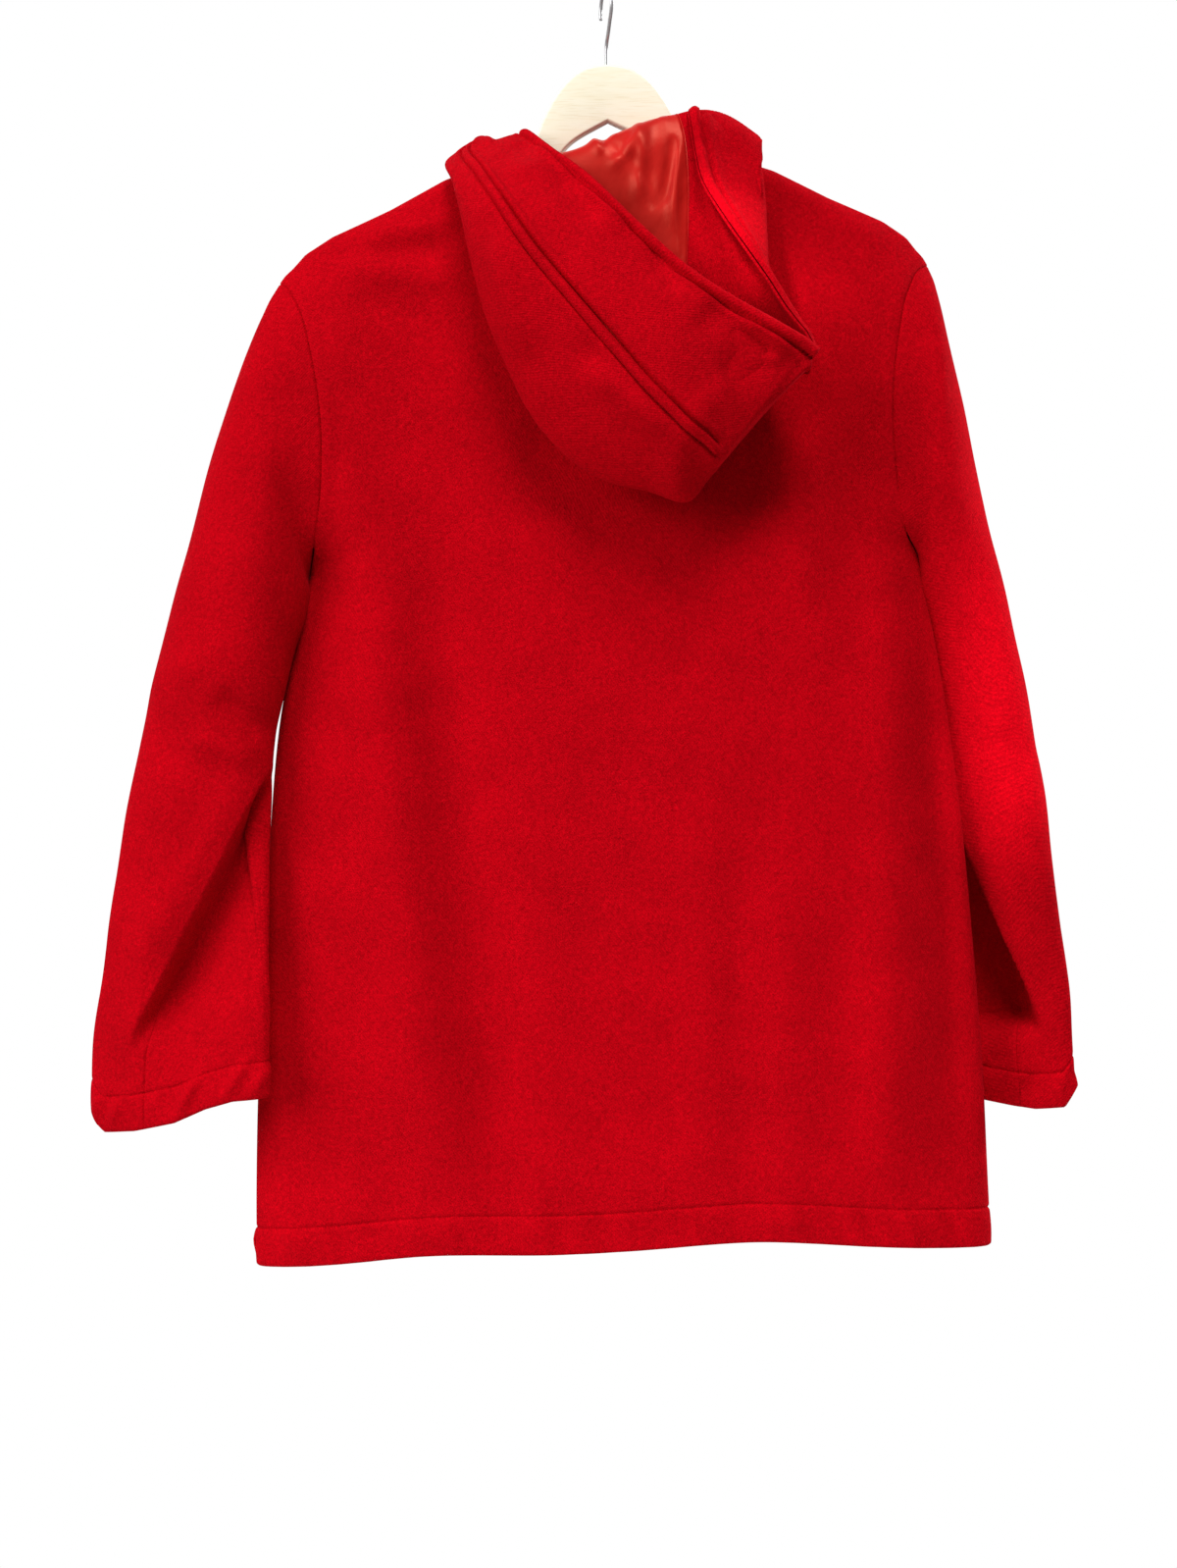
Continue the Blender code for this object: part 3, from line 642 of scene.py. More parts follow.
CUFF_DIP = {
    # Share of the way from the outer to the inner edge, and how far the hem dips there.
    "left": ((0.0, -6.0), (0.04, 3.0), (0.08, 8.0), (0.26, 9.3), (0.49, 7.0), (0.66, 0.5),
             (0.81, -2), (1, 0)),
    "right": ((0.0, -3.0), (0.08, 12.0), (0.24, 15.0), (0.36, 14.0), (0.49, 12.0), (0.75, 6.0),
              (1, 0)),
}
ELBOW_FOLDS = {
    # x0     z0      x1     z1    lip  reach depth
    "left": ((250.0, -554.0, 348.0, -731.0, 5.0, 45.0, 22.0),),
    "right": ((-292.0, -745.0, -238.0, -610.0, 5.0, 70.0, 44.0),),
}
SLEEVE_CREASES = {
    # On the back of the sleeve, then on its front.
    "left": ((
        # x0     z0      x1     z1    bow  width  depth
        (258, -545, 340, -694, -2, 13, 4),
        (284, -497, 248, -532, 0, 9, -4.5),
        (306, -530, 256, -549, 2, 9, 4),
        (330, -490, 296, -560, -4, 20, -2),
        (262, -470, 316, -492, -5, 13, 1.8),
        (322, -620, 352, -760, -4, 18, 3),
        (258, -330, 300, -470, -6, 20, -2.2),
        (236, -300, 262, -430, 6, 16, 1.8),
    ), (
        (250, -540, 330, -600, -8, 14, -5),
        (262, -500, 330, -530, -6, 12, 3),
        (300, -380, 286, -500, 5, 18, -2.6),
        (330, -620, 352, -760, -4, 16, 2.4),
    )),
    "right": ((
        (-246, -600, -298, -725, 0, 14, 5),
        (-262, -500, -300, -660, -6, 13, 1.8),
        (-236, -330, -256, -480, 6, 15, -2),
        (-262, -540, -290, -570, 4, 12, -1.8),
        (-240, -290, -250, -420, -5, 14, 1.6),
    ), (
        (-210, -540, -286, -590, 8, 14, -5),
        (-222, -500, -280, -530, 6, 12, 3),
        (-250, -380, -240, -500, -5, 18, -2.6),
        (-270, -620, -290, -760, 4, 16, 2.4),
    )),
}
ARMHOLE_MIDDLE = (SHOULDER_TIP[1] + UNDERARM_Z) / 2
ARMHOLE_REACH = (SHOULDER_TIP[1] - UNDERARM_Z) / 2
armhole_angles = [row[0] for row in reversed(ARMHOLE_ROWS)]
armhole_angles += [360.0 - angle for angle in reversed(armhole_angles[1:-1])]
ring_places = np.arange(FRONT_SEAM - RING_POINTS, RING_POINTS + 1)
ring_start, ring_end = (
    np.array([angles[k % RING_POINTS] + 360 * (k // RING_POINTS) for k in ring_places], float)
    for angles in (armhole_angles, CUFF_ANGLES))


def armhole_ring(angles, back_edge, front_edge, side):
    """Points of the armhole: the body's own edge at the height that each angle gives."""
    height = ARMHOLE_MIDDLE + ARMHOLE_REACH * np.cos(np.radians(angles))
    behind = np.sin(np.radians(angles)) >= 0
    places = []
    for k in (0, 1):
        there = [np.interp(height, edge[:, 2], edge[:, k]) for edge in (back_edge, front_edge)]
        places.append(np.where(behind, *there))
    return np.stack([places[0] + side * 2 * SEAM_HALF, places[1], height], -1)


def sleeve_rows(side, word, places, back_edge, front_edge):
    """Rings from armhole to cuff: an ellipse-like loop between an outer and an inner edge.

    Each is tucked in beside the back seam below the elbow, and the last two dip at the cuff."""
    start = smooth_through(ring_places, ring_start, places)
    end = smooth_through(ring_places, ring_end, places)
    rings = [armhole_ring(start, back_edge, front_edge, side)]
    table_rows = SLEEVE_ROWS[word]
    for number, row in enumerate(table_rows, start=1):
        out_x, out_y, out_z, in_x, in_y, in_z, back_bulge, front_bulge = row
        share = number / len(table_rows)
        turn = np.radians(start + (end - start) * eased(share))
        outer = np.array((side * out_x, out_y, out_z))
        inner = np.array((side * in_x, in_y, in_z))
        ring = (outer + inner) / 2 + np.cos(turn)[:, None] * (outer - inner) / 2
        ring[:, 1] += np.where(np.sin(turn) > 0, back_bulge, front_bulge) * np.sin(turn)
        below_elbow = math.sin(math.pi * min(max((share - 0.5) / 0.5, 0.0), 1.0))
        ring[:, 1] -= ELBOW_TUCK * below_elbow * bell(places - BACK_SEAM - 0.7, 0.7)
        inward = (1 - np.cos(turn)) / 2
        dip = np.where(np.sin(turn) >= 0, table(CUFF_DIP[word], inward),
                       CUFF_DIP[word][0][1] * (1 - inward))
        ring[:, 2] -= dip * {len(table_rows): 1.0, len(table_rows) - 1: 0.2}.get(number, 0.0)
        rings.append(ring)
    return np.array(rings)


for side, word in ((1.0, "left"), (-1.0, "right")):
    edges = armhole_edges[word]
    seams = sleeve_rows(side, word, np.array([FRONT_SEAM - RING_POINTS, BACK_SEAM], float), *edges)
    seam_knots = run_along(seams, 0).mean(axis=1)
    for kind, first, last, across, cut in (
            ("top", FRONT_SEAM - RING_POINTS, BACK_SEAM, 90, (0.27, 0.64, 0.118)),
            ("under", BACK_SEAM, FRONT_SEAM, 56, (0.12, 0.50, 0.042))):
        rows = sleeve_rows(side, word, np.linspace(first, last, 160), *edges)
        if side > 0:
            rows = rows[:, ::-1]
        grid = panel_grid(rows, across, 150, knots=seam_knots)
        grid = respaced_up(grid[::-1], 150, (CUFF_BAND,))[::-1]
        one_edge, other_edge, from_armhole, from_cuff = from_edges(grid)
        back_first = (kind == "under") != (side > 0)
        from_front = other_edge if back_first else one_edge
        still = np.minimum(faded(from_front, FRONT_SEAM_FADE),
                           faded(np.minimum(from_armhole, from_cuff), SLEEVE_END_FADE))
        seen = faded(SEAM_SHOWS - from_cuff[:, :1], SEAM_SHOWS_FADE)
        behind = np.clip(0.5 + 1.4 * facing(grid)[..., 1], 0.0, 1.0)
        x, z = grid[..., 0], grid[..., 2]
        on_back, on_front = (creases(x, z, rows) for rows in SLEEVE_CREASES[word])
        on_back += overhang(x, z, ELBOW_FOLDS[word])
        relief = (on_back * behind + on_front * (1 - behind)) * still
        relief += unevenness(x + grid[..., 1], z, 7, 80.0, 0.7) * still
        relief += turned_up(from_cuff, one_edge, CUFF_BAND, 21)
        rolls = (seen, 1.0) if back_first else (1.0, seen)
        sleeve = wall(f"sleeve_{word}_{kind}_piece", grid, WOOL, relief, rolls=(*rolls, 1.0, 1.0))
        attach(sleeve, "root")
        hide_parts(f"sleeve_{word}_{kind}")


# ---- The hood ---------------------------------------------------------------------------
# Thrown back and turned towards the wearer's right.  Two side panels of the same wool are
# joined by a gusset; a line of stitches runs beside its seam and another round the face.
HOOD_ROWS = (
    # left edge            left seam             bottom fold           right fold            right edge  off
    ((36, -40, -152), (76, -13, -121), (84, 2, -121), (-84, -4, -113), (-36, -40, -150), 0),
    ((57, -18, -109), (91, -3, -109), (101, 6, -121), (-96, 5, -113), (-59, -16, -105), 0),
    ((59, 4, -103), (103, 15, -119), (112, 14, -129), (-104, 20, -120), (-57, 32, -100), 0),
    ((36, 50, -132), (92, 62, -150), (108, 40, -152), (-107, 38, -148), (-60, 52, -132), 0),
    ((15, 74, -155), (79, 88, -177), (102, 54, -184), (-108, 42, -172), (-64, 60, -155), 0),
    ((-16, 94, -192), (59, 104, -212), (94, 64, -225), (-107, 52, -198), (-78, 72, -184), 0),
    ((-48, 104, -225), (33, 113, -247), (80, 68, -268), (-106, 62, -222), (-93, 82, -210), 0),
    ((-80, 109, -249), (3, 117, -285), (50, 74, -328), (-112, 68, -246), (-106, 88, -232), 0),
    ((-103, 110, -263), (-22, 117, -315), (6, 76, -364), (-118, 72, -264), (-117, 92, -252), 1),
    ((-118, 109, -272), (-45, 113, -338), (-45, 80, -379), (-123, 75, -278), (-124, 95, -263), 3),
    ((-126, 108, -277), (-67, 99, -353), (-72, 80, -352), (-126, 78, -284), (-129, 97, -270), 14),
    ((-131, 107, -281), (-103, 99, -318), (-105, 86, -316), (-130, 84, -288), (-132, 96, -276), 28),
    ((-135, 106, -284), (-128, 103, -295), (-128, 91, -295), (-132, 87, -288), (-135, 94, -282), 40),
)
HOOD_STEPS = (3, 2, 2, 2, 2, 3)
HOOD_FINE = 8
NECK_KEYS = (177, 105, 78, 45, -45, -84, -177)
HOOD_LEFT_SEAM, HOOD_RIGHT_SEAM = 3, 6
HOOD_STAND = 5.0
HOOD_FAR_DROP = 8.0
HOOD_FAR_LIFT = ((-8.0, 13.0), (-15.0, 18.0), (-15.0, 15.0), (-8.0, 6.0))
HOOD_FAR_OUT = (0.0, 6.0, 12.0, 14.0, 14.0, 14.0, 10.0, 5.0)
HOOD_TAUT = 8
HOOD_OFF_BACK = 24.0
HOOD_LEAN = 0.085
FACE_BAND = 8.5
GUSSET_BAND = 9.5
PEAK_TURN = 84.0
PEAK_TURN_FADE = 6.0
HOOD_FADE = 12.0
NECK_FADE = 14.0
PIPE_SWELL = 3.0
PIPE_SINK = 3.9
PIPE_SINK_WIDTH = 1.4
PIPE_LIP = 1.9
HOOD_CREASES = (
    # x0     z0      x1     z1    bow  width  depth
    (68, -106, 42, -126, 1.5, 4.5, -5),
    (60, -114, 48, -146, -2, 9, -2.6),
    (100, -112, 80, -110, 1, 8, 4),
    (-82, -262, -118, -288, 3, 4.5, 3.8),
    (-74, -272, -106, -292, 2, 4, -3.6),
    (-84, -286, -110, -294, 2, 3.6, 3.4),
    (-60, -250, -96, -300, 4, 11, -2.8),
    (38, -150, 12, -196, 4, 13, -4.6),
    (16, -160, -6, -204, 4, 12, 3.6),
    (-30, -226, -66, -262, -5, 16, 4.4),
    (20, -262, -20, -318, -5, 16, -3.2),
    (76, -190, 56, -286, -4, 13, 7),
    (24, -290, -40, -340, 3, 12, 6.5),
    (84, -130, 60, -172, 3, 11, -1.2),
    (40, -126, 62, -160, -3, 12, 3.5),
    (-28, -206, -40, -250, 2, 9, -4.8),
    (-70, -308, -106, -284, 2, 12, -5),
)


def neckline(x, front):
    """Points of the neckline at each x, on the front of the neck or on its back."""
    around = np.maximum(1 - (x / NECK_POINT[0]) ** 4, 0.0) ** 0.5
    y = np.where(front, -0.3 - FRONT_NECK_BULGE * around, 0.3 + BACK_NECK_BULGE * around)
    z = np.where(front, seam_height(x, FRONT_NECK_Z), seam_height(x, BACK_NECK_Z))
    return np.stack([x, y, z], -1)


def neck_row(lift, spread):
    """The hood's seam round the neck, or the same line lifted and spread outwards."""
    places = np.cumsum((0, *HOOD_STEPS)) * HOOD_FINE
    turn = np.interp(np.arange(places[-1] + 1), places, NECK_KEYS)
    front = np.abs(turn) > 90
    x = NECK_POINT[0] * np.sin(np.radians(turn))
    outward = np.stack([x / NECK_POINT[0], np.where(front, -0.9, 0.5), 0 * x], -1)
    return neckline(x, front) + outward * spread + (0.0, 0.0, lift)


def bag_row(number, row):
    """A smooth row through the table's five points and two on the side next to the back.

    Those two stand off the back by a clearance, the table's last value and a lean with
    height.  The first rows shift them up or down and move the second one further off."""
    edge, seam, fold, right_fold, right_edge = (np.array(point, float) for point in row[:5])
    far = []
    for share in (0.22, 0.8):
        point = fold + (right_fold - fold) * share
        point[1] = HOOD_OFF_BACK + row[5] + HOOD_LEAN * (BACK_NECK_Z - point[2])
        point[2] -= HOOD_FAR_DROP * (number <= HOOD_TAUT)
        far.append(point)
    if number < len(HOOD_FAR_LIFT):
        for point, lift in zip(far, HOOD_FAR_LIFT[number]):
            point[2] += lift
    if number < len(HOOD_FAR_OUT):
        far[1][1] += HOOD_FAR_OUT[number]
    keys = np.array([edge, seam, fold, far[0], far[1], right_fold, right_edge])
    padded = np.concatenate([2 * keys[:1] - keys[1:2], keys, 2 * keys[-1:] - keys[-2:-1]])
    curve = []
    for index, count in enumerate(HOOD_STEPS):
        before, start, end, after = padded[index:index + 4]
        t = (np.arange(count * HOOD_FINE) / (count * HOOD_FINE))[:, None]
        curve.append(0.5 * (2 * start + (end - before) * t
                            + (2 * before - 5 * start + 4 * end - after) * t ** 2
                            + (3 * start - before - 3 * end + after) * t ** 3))
    return np.concatenate([*curve, keys[-1:]])


def piped(distance, band):
    """A seam allowance stitched down: the band swells like piping and its line is drawn in."""
    past = distance - band
    swell = PIPE_SWELL * np.sin(math.pi * faded(distance, band)) ** 0.7
    return swell - PIPE_SINK * bell(past, PIPE_SINK_WIDTH) + PIPE_LIP * bell(past - 5.0, 3.5)


hood_rows = np.array([neck_row(-1.2, 2.6), neck_row(HOOD_STAND, 1.0),
                      *(bag_row(number, row) for number, row in enumerate(HOOD_ROWS))])
taut = hood_rows[HOOD_TAUT + 2:]
between = (taut[:-1] + taut[1:]) / 2
taut = np.concatenate([np.stack([taut[:-1], between], 1).reshape(-1, *taut.shape[1:]), taut[-1:]])
hood_rows = np.concatenate([hood_rows[:HOOD_TAUT + 2], taut])
hood_knots = run_along(hood_rows, 0).mean(axis=1)
for word, first, last, across, cut in (
        ("left", 0, HOOD_LEFT_SEAM, 64, (0.20, 0.36, 0.036)),
        ("gusset", HOOD_LEFT_SEAM, HOOD_RIGHT_SEAM, 48, (0.14, 0.42, 0.037)),
        ("right", HOOD_RIGHT_SEAM, sum(HOOD_STEPS), 90, (0.30, 0.38, 0.078))):
    grid = panel_grid(hood_rows[:, first * HOOD_FINE:last * HOOD_FINE + 1], across, 150,
                      knots=hood_knots)
    one_edge, other_edge, from_neck, from_peak = from_edges(grid)
    still = faded(np.minimum(np.minimum(one_edge, other_edge), from_neck), HOOD_FADE)
    off_neck = faded(from_neck, NECK_FADE)
    shown = np.clip(0.9 + 1.6 * facing(grid)[..., 1], 0.0, 1.0)
    relief = creases(grid[..., 0], grid[..., 2], HOOD_CREASES) * shown * still
    relief += unevenness(grid[..., 0], grid[..., 2], 9, 70.0, 0.5) * still
    over = 1 - 0.8 * np.clip(2.5 * facing(grid)[..., 2] - 1.5, 0.0, 1.0)
    over = over * off_neck
    sewn = faded(from_peak - PEAK_TURN, PEAK_TURN_FADE)
    rolls = (1.0, 1.0, 1.0, 1.0)
    if word == "left":
        relief += (piped(one_edge, FACE_BAND) + piped(other_edge, GUSSET_BAND) * sewn) * over
        rolls = (1.0, sewn[:, -1:], 1.0, 1.0)
    if word == "gusset":
        relief += (1.2 * bell(one_edge - 4.5, 3.5) - 1.6 * bell(one_edge, 1.6)) * sewn
        rolls = (sewn[:, :1], 1.0, 1.0, 1.0)
    if word == "right":
        relief += piped(other_edge, FACE_BAND) * off_neck
    panel = wall(f"hood_{word}_piece", grid, WOOL, relief, rolls=rolls)
    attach(panel, "root")
    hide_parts(f"hood_{word}")


# ---- The hood's facing and lining -------------------------------------------------------
# Inside the hood a band of the same wool follows the face opening, and an orange-red satin
# lining is sewn to it.  The satin is slack: it lies in soft, shiny wrinkles.
FACING_LEFT = 16
FACING_RIGHT = ((0, 70.8), (4, 70.4), (6, 69.4), (7, 68.4), (8, 66.6), (9, 63.5), (12, 61.5),
                (20, 60))
SATIN_THICK = 0.6
LINING_GAP = 1.5
MOUTH_MIDDLE = (-20.0, -150.0)
MOUTH_REACH = 75.0
SATIN_SLACK = 3.2
LINING_CREASES = (
    # x0     z0      x1     z1    bow  width  depth
    (-44, -118, -34, -172, 3, 3.6, -4.5),
    (-52, -120, -44, -190, -2, 4.5, 4.5),
    (-28, -108, -22, -170, -3, 5, 4),
    (-24, -108, 2, -142, 5, 4, 3.6),
    (-14, -130, -32, -176, 3, 5, -3.6),
    (8, -118, -14, -140, 2, 4, -3),
    (18, -116, 4, -132, 2, 4, 3.2),
)


def strip_between(rows, first, last, count):
    """The part of each row between two places, given as fractions of its columns."""
    columns = np.arange(rows.shape[1])
    made = [[np.interp(np.linspace(start, end, count), columns, row[:, k]) for k in range(3)]
            for row, start, end in zip(rows, first, last)]
    return np.moveaxis(np.array(made), 1, 2)


def orange_satin():
    """Smooth satin: a soft gloss stretched one way, with fine threads and a slow mottle."""
    skin, tree, shader = shader_of("orange-red satin", (0.52, 0.010, 0.008), 0.36)
    shader.inputs["Specular IOR Level"].default_value = 0.45
    shader.inputs["Specular Tint"].default_value = (1.0, 0.28, 0.16, 1.0)
    shader.inputs["Anisotropic"].default_value = 0.55
    flat = add_node(tree, "ShaderNodeUVMap", uv_map="cloth").outputs["UV"]
    threads = noise(tree, mapped(tree, flat, Scale=(1.0, 5.0, 1.0)), 900.0, 2.0, 0.6)
    soft = noise(tree, flat, 45.0, 3.0, 0.55)
    colour = ramp(tree, soft, 0.3, 0.7, (0.45, 0.007, 0.006), (0.60, 0.014, 0.012))
    fine = ramp(tree, threads, 0.25, 0.75, grey(0.90), grey(1.05))
    tree.links.new(blended(tree, "MULTIPLY", 1.0, colour, fine), shader.inputs["Base Color"])
    bumped(tree, shader, ((soft, 0.3, 0.002), (threads, 0.15, 0.0002)))
    return skin


SATIN = orange_satin()
hood_normal = facing(hood_rows)
hood_inside = (hood_rows - hood_normal * (WOOL_THICK + LINING_GAP))[1:-1]
inside_knots = run_along(hood_inside, 0).mean(axis=1)
left_line = np.full(len(hood_inside), FACING_LEFT)
right_line = table(FACING_RIGHT, np.arange(len(hood_inside)))
far_edge = np.full(len(hood_inside), hood_inside.shape[1] - 1)
for word, first, last, skin, across, cut in (
        ("facing_left", 0 * left_line, left_line, WOOL, 24, (0.08, 0.40, 0.024)),
        ("lining", left_line, right_line, SATIN, 110, (0.34, 0.42, 0.095)),
        ("facing_right", right_line, far_edge, WOOL, 50, (0.10, 0.38, 0.028))):
    grid = panel_grid(strip_between(hood_inside, first, last, 60), across, 130,
                      knots=inside_knots)
    grid = grid[:, ::-1]
    still = faded(np.minimum.reduce(from_edges(grid)), 10.0)
    relief = unevenness(grid[..., 0], grid[..., 2], 13, 60.0, 0.4) * still
    if skin == SATIN:
        folds = SATIN_SLACK + creases(grid[..., 0], grid[..., 2], LINING_CREASES)
        mouth = np.hypot(grid[..., 0] - MOUTH_MIDDLE[0], grid[..., 2] - MOUTH_MIDDLE[1])
        relief += np.maximum(folds, 1.0) * still * bell(mouth, MOUTH_REACH)
    panel = wall(f"hood_{word}_piece", grid, skin, relief, thick=SATIN_THICK)
    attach(panel, "root")
    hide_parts(f"hood_{word}")


# ---- The hanger -------------------------------------------------------------------------
# A flat board of pale wood, sawn to an arch above, a notch below and two sloping arms.
# Its edges are rounded over and it is lacquered.
HANGER_HALF = 197.0
HANGER_THICK = 10.0
HANGER_DROP = 9.0
WOOD_ROUND = 1.8
WOOD_ARCH = (
    # x      z on the upper edge
    (0, -58),
    (9, -58.9),
    (17, -61.5),
    (25, -66.8),
    (33, -75),
    (40, -85),
    (46, -96),
    (52, -110.5),
    (58, -125),
    (66, -136),
)
WOOD_NOTCH = ((0.0, -98.0), (24.0, -111.0), (64.0, -158.0), (117.0, -176.0))
GRAIN_PALE = (1.0, 0.97, 0.79)
GRAIN_DARK = (0.97, 0.92, 0.70)


def lacquered_wood():
    """Stretched, distorted noise for the grain, with short darker pores."""
    skin, tree, shader = shader_of("pale lacquered wood", GRAIN_PALE, 0.42)
    shader.inputs["Specular IOR Level"].default_value = 0.45
    shader.inputs["Coat Weight"].default_value = 0.25
    shader.inputs["Coat Roughness"].default_value = 0.22
    place = object_place(tree)
    grain = noise(tree, mapped(tree, place, Scale=(6.0, 60.0, 60.0)), 4.0, 4.0, 0.6, 0.8)
    pores = noise(tree, mapped(tree, place, Scale=(24.0, 500.0, 500.0)), 3.0, 2.0, 0.5)
    colour = ramp(tree, grain, 0.32, 0.70, GRAIN_DARK, GRAIN_PALE)
    dots = ramp(tree, pores, 0.30, 0.46, (0.93, 0.90, 0.84), grey(1.0))
    colour = blended(tree, "MULTIPLY", 1.0, colour, dots)
    tree.links.new(colour, shader.inputs["Base Color"])
    bumped(tree, shader, ((pores, 0.2, 0.0002), (grain, 0.15, 0.0004)))
    return skin


def board_outline(count):
    """The upper and the lower edge from tip to tip, each a smooth curve through its points."""
    arm_x = np.array((92.0, 117.0, 150.0, 178.0, 191.0))
    arm = np.stack([arm_x, seam_height(arm_x, BACK_NECK_Z) - HANGER_DROP], -1)
    tip_z = seam_height(np.array(HANGER_HALF), BACK_NECK_Z) - HANGER_DROP
    upper = np.concatenate([WOOD_ARCH, arm, [(HANGER_HALF, tip_z - 7.0)]])
    lower = np.concatenate([WOOD_NOTCH, [(HANGER_HALF - 3.0, tip_z - 14.0)]])
    edges = []
    for knots in (upper, lower):
        run = run_along(knots[None], 1)[0]
        half = smooth_through(run, knots, np.linspace(0.0, run[-1], count))
        edges.append(np.concatenate([half[:0:-1] * (-1.0, 1.0), half]))
    return edges


def ring_faces(count, sides, inside_out=False):
    """Four-sided faces that join each closed ring of points to the next one."""
    index = np.arange(count * sides).reshape(count, sides)
    ahead = np.roll(index, -1, axis=1)
    faces = np.stack([index[:-1], ahead[:-1], ahead[1:], index[1:]], -1).reshape(-1, 4)
    return faces[:, (0, 3, 2, 1)] if inside_out else faces


def board():
    """The outline moved in round a quarter circle at each face, and both faces filled."""
    upper, lower = board_outline(150)
    outline = np.concatenate([upper, lower[::-1]])
    way = np.roll(outline, -1, axis=0) - np.roll(outline, 1, axis=0)
    inward = np.stack([way[:, 1], -way[:, 0]], -1)
    inward /= np.linalg.norm(inward, axis=1, keepdims=True)
    rings = []
    for side, turns in ((1.0, (90, 72, 54, 36, 18, 0)), (-1.0, (0, 18, 36, 54, 72, 90))):
        for turn in np.radians(turns):
            flat = outline + inward * WOOD_ROUND * (1 - math.cos(turn))
            y = side * (HANGER_THICK / 2 - WOOD_ROUND * (1 - math.sin(turn)))
            rings.append(np.stack([flat[:, 0], 0 * flat[:, 0] + y, flat[:, 1]], -1))
    index = np.arange(len(rings) * len(outline)).reshape(len(rings), -1)
    faces = [ring_faces(*index.shape)]
    for ring, order in ((index[0], 1), (index[-1], -1)):
        above, below = ring[:len(upper)], ring[len(upper):][::-1]
        face = np.stack([above[:-1], below[:-1], below[1:], above[1:]], -1)
        faces.append(face[:, ::order])
    return solid("hanger_wood", hung(np.concatenate(rings)), np.concatenate(faces),
                 lacquered_wood())


hanger = board()
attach(hanger, "root")
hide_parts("hanger")


# ---- The hook ---------------------------------------------------------------------------
# Bright steel wire, set into the top of the board, bent away from it and round into an open
# hook that hangs on a rail.
HOOK_WIRE = 2.6
HOOK_RADIUS = 17.0
HOOK_TURN = math.radians(77.0)


def tube(points, radii, sides):
    """A round tube along a path, open at both ends, with a radius for each of its rings."""
    way = np.gradient(points, axis=0)
    way /= np.linalg.norm(way, axis=1, keepdims=True)
    aside = np.cross(way, (0.0, 0.0, 1.0) if abs(way[0, 2]) < 0.9 else (0.0, 1.0, 0.0))
    aside /= np.maximum(np.linalg.norm(aside, axis=1, keepdims=True), 1e-9)
    for k in range(1, len(aside)):
        if np.dot(aside[k], aside[k - 1]) < 0:
            aside[k] = -aside[k]
    up = np.cross(aside, way)
    turn = np.linspace(0.0, 2 * math.pi, sides, endpoint=False)
    ring = (aside[:, None] * np.cos(turn)[:, None] + up[:, None] * np.sin(turn)[:, None])
    rings = points[:, None] + ring * radii[:, None, None]
    return rings.reshape(-1, 3), ring_faces(len(rings), sides, inside_out=True)


def hook_path():
    """Straight up, a bend outwards, then an arc of 240 degrees about the rail's centre."""
    centre = -(HOOK_RADIUS - HOOK_WIRE / 2)
    turns = np.radians(np.linspace(-45.0, 195.0, 90))
    arc = np.stack([HOOK_RADIUS * np.cos(turns), centre + HOOK_RADIUS * np.sin(turns)], -1)
    stem = np.array(((0.0, WOOD_ARCH[0][1] - 4.0), (0.0, -54.0), (0.0, -50.0), (1.0, -43.0),
                     (6.0, -36.5), arc[0]))
    run = run_along(stem[None], 1)[0]
    stem = smooth_through(run, stem, np.linspace(0.0, run[-1], 40))[:-1]
    out, z = np.concatenate([stem, arc]).T
    return np.stack([-math.cos(HOOK_TURN) * out, math.sin(HOOK_TURN) * out, z], -1)


def bright_wire():
    """Bright steel, its gloss and colour faintly uneven."""
    skin, tree, shader = shader_of("bright steel wire", (0.55, 0.55, 0.56), 0.25, 0.35)
    place = object_place(tree)
    wear = noise(tree, place, 700.0, 3.0, 0.6)
    rough = ramp(tree, wear, 0.3, 0.8, grey(0.12), grey(0.30))
    tree.links.new(rough, shader.inputs["Roughness"])
    colour = ramp(tree, wear, 0.2, 0.8, (0.50, 0.50, 0.51), (0.60, 0.60, 0.61))
    tree.links.new(colour, shader.inputs["Base Color"])
    bumped(tree, shader, ((wear, 0.15, 0.0001),))
    return skin


path = hook_path()
left_over = np.linalg.norm(path - path[-1], axis=1)
radii = HOOK_WIRE / 2 * np.sqrt(np.clip(1 - (1 - left_over / (HOOK_WIRE / 2)).clip(0) ** 2,
                                        0.003, 1.0))
points, faces = tube(path, radii, 20)
hook = solid("hook_wire", points * MM, faces, bright_wire())
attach(hook, "root")
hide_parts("hook")


# ---- The buttons ------------------------------------------------------------------------
# Five plain round buttons of red horn plastic, each a turned rim round a dished face, sewn
# down the right front.  Their holes and thread are left out.
BUTTON_HALF = 12.5
BUTTON_THICK = 4.0
BUTTON_Z = (-222.0, -334.0, -446.0, -558.0, -670.0)
BUTTON_PROFILE = (
    # radius share, height share from the back to the front
    (0, 0), (0.80, 0), (0.93, 0.10), (1, 0.38), (1, 0.60), (0.96, 0.88),
    (0.88, 1), (0.78, 0.97), (0.66, 0.74), (0.5, 0.64), (0, 0.60),
)


def horn_plastic():
    """Polished red plastic with cloudy streaks, as horn has."""
    skin, tree, shader = shader_of("red button plastic", (0.36, 0.008, 0.014), 0.30)
    shader.inputs["Coat Weight"].default_value = 0.3
    shader.inputs["Coat Roughness"].default_value = 0.1
    place = object_place(tree)
    streaks = noise(tree, place, 130.0, 3.0, 0.6, 2.2)
    colour = ramp(tree, streaks, 0.3, 0.7, (0.24, 0.004, 0.009), (0.46, 0.014, 0.020))
    tree.links.new(colour, shader.inputs["Base Color"])
    fine = noise(tree, place, 900.0, 2.0, 0.5)
    bumped(tree, shader, ((fine, 0.1, 0.0001),))
    return skin


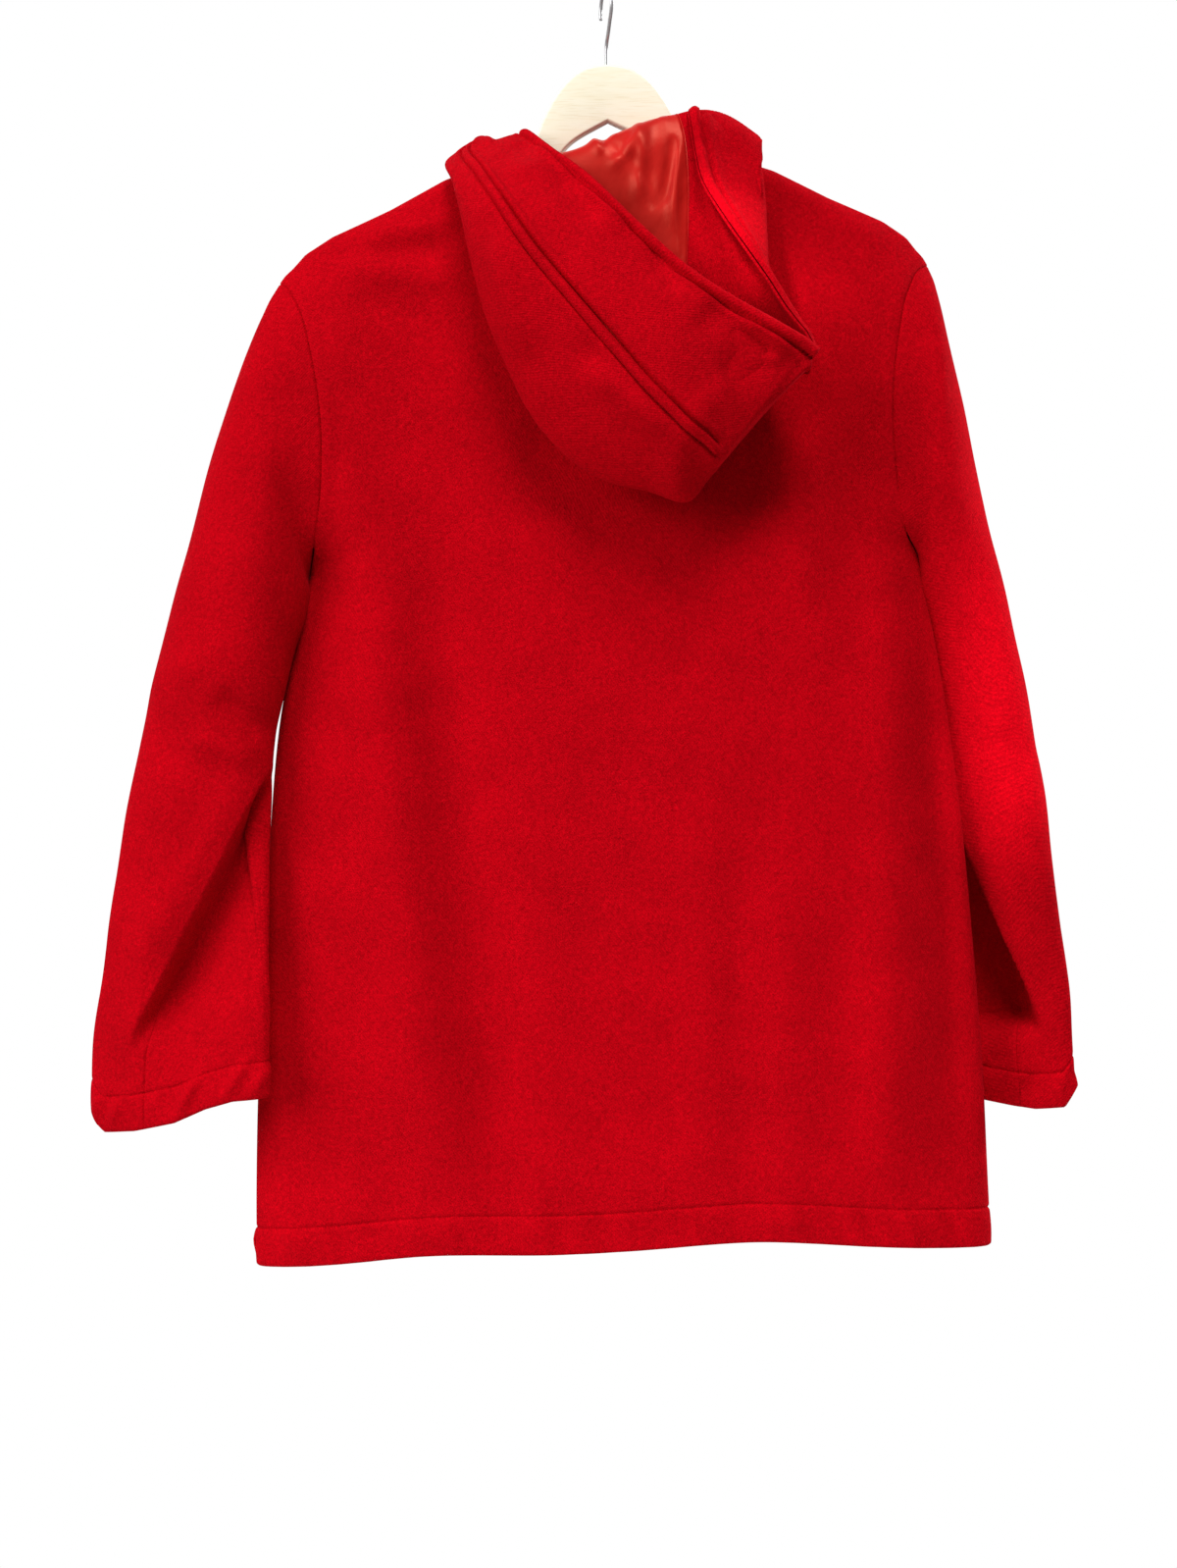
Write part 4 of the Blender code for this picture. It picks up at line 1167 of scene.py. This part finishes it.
def turned(profile, sides):
    """A profile of radii and heights carried round the Y axis."""
    radius, height = np.array(profile).T
    turn = np.linspace(0.0, 2 * math.pi, sides, endpoint=False)
    points = np.stack([radius[:, None] * np.cos(turn), -height[:, None] + 0 * turn,
                       radius[:, None] * np.sin(turn)], -1)
    return points.reshape(-1, 3), ring_faces(len(points), sides)


knots = np.array(BUTTON_PROFILE) * (BUTTON_HALF, BUTTON_THICK)
run = run_along(knots[None], 1)[0]
profile = smooth_through(run, knots, np.linspace(0.0, run[-1], 60))
profile[:, 0] = np.maximum(profile[:, 0], 0.02)
plastic = horn_plastic()
for number, z in enumerate(BUTTON_Z, start=1):
    depth = np.interp((z + BUTTON_HALF, z, z - BUTTON_HALF), under_buttons[:, 2],
                      under_buttons[:, 1]).min()
    points, faces = turned(profile, 64)
    button = solid(f"jacket_button_{number}", hung(points + (0.0, depth - 0.6, z)), faces,
                   plastic)
    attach(button, "root")
    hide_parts(f"button_{number}")


# ---- The floor, the lights and the camera -----------------------------------------------
# A round pale floor, a white surround and a camera square to the back.  Four broad distant
# lights model the cloth, and two narrow soft boxes pick out the right sleeve and the hood.
FLOOR_Z = -1.6
FLOOR_RADIUS = 1.15
FLOOR_SIDES = 96
CAMERA_PLACE = (0.0126, 1.5536, -0.570)


def floor():
    """A flat disc of rings, the innermost a pinhole."""
    turn = np.linspace(0.0, 2 * math.pi, FLOOR_SIDES, endpoint=False)
    rings = np.array((0.0005, 0.4, 0.8, FLOOR_RADIUS))[:, None]
    points = np.stack([rings * np.cos(turn), rings * np.sin(turn),
                       FLOOR_Z + 0 * rings * turn], -1)
    faces = ring_faces(len(rings), FLOOR_SIDES, inside_out=True)
    skin, tree, shader = shader_of("pale floor", (0.80, 0.80, 0.79), 0.8)
    speckle = noise(tree, object_place(tree), 9.0, 3.0)
    tree.links.new(ramp(tree, speckle, 0.2, 0.8, (0.78, 0.78, 0.77), (0.82, 0.82, 0.81)),
                   shader.inputs["Base Color"])
    return solid("studio_floor", points.reshape(-1, 3), faces, skin)


floor()

world = bpy.data.worlds.new("white surround")
world.use_nodes = True
bpy.context.scene.world = world
sky = world.node_tree
lit = sky.nodes["Background"]
lit.inputs["Color"].default_value = (1.0, 1.0, 1.0, 1.0)
lit.inputs["Strength"].default_value = 0.20
seen = add_node(sky, "ShaderNodeBackground", Color=(1.0, 1.0, 1.0, 1.0), Strength=1.0)
either = sky.nodes.new("ShaderNodeMixShader")
sky.links.new(sky.nodes.new("ShaderNodeLightPath").outputs["Is Camera Ray"],
              either.inputs["Fac"])
sky.links.new(lit.outputs[0], either.inputs[1])
sky.links.new(seen.outputs[0], either.inputs[2])
sky.links.new(either.outputs[0], sky.nodes["World Output"].inputs["Surface"])


def lamp(name, towards, strength, angle):
    """A distant light that shines from the given direction."""
    light = bpy.data.lights.new(name, "SUN")
    light.energy = strength
    light.angle = math.radians(angle)
    made = bpy.data.objects.new(name, light)
    made.rotation_euler = Vector(towards).to_track_quat("Z", "Y").to_euler()
    bpy.context.scene.collection.objects.link(made)


def soft_box(name, place, aim, power, width, height, spread):
    """A rectangle of soft light with a narrow spread, which the camera can't see."""
    light = bpy.data.lights.new(name, "AREA")
    light.shape = "RECTANGLE"
    light.size, light.size_y = width, height
    light.energy = power
    light.spread = math.radians(spread)
    made = bpy.data.objects.new(name, light)
    made.location = place
    made.rotation_euler = (Vector(place) - Vector(aim)).to_track_quat("Z", "Y").to_euler()
    made.visible_camera = False
    bpy.context.scene.collection.objects.link(made)


lamp("window on the wearer's left", (0.90, 0.56, 0.35), 2.25, 40.0)
lamp("high light behind the camera", (-0.08, 0.60, 0.85), 2.35, 24.0)
lamp("rim on the wearer's right", (-1.0, -0.50, 0.45), 2.4, 24.0)
lamp("weak light on the front", (0.30, -1.0, 0.50), 1.0, 60.0)
soft_box("strip on the right sleeve", (-0.330, 0.36, -0.385), (-0.298, 0.0, -0.385),
         0.12, 0.09, 0.44, 16.0)
soft_box("snoot into the hood", (0.02, 0.22, -0.03), (-0.095, 0.055, -0.195),
         0.014, 0.05, 0.05, 18.0)

lens = bpy.data.cameras.new("camera")
lens.lens = 50.0
lens.sensor_width = 36.0
camera = bpy.data.objects.new("camera", lens)
camera.location = CAMERA_PLACE
camera.rotation_euler = (math.radians(90), 0.0, math.radians(180))
bpy.context.scene.collection.objects.link(camera)
bpy.context.scene.camera = camera
bpy.context.scene.view_settings.view_transform = "Standard"
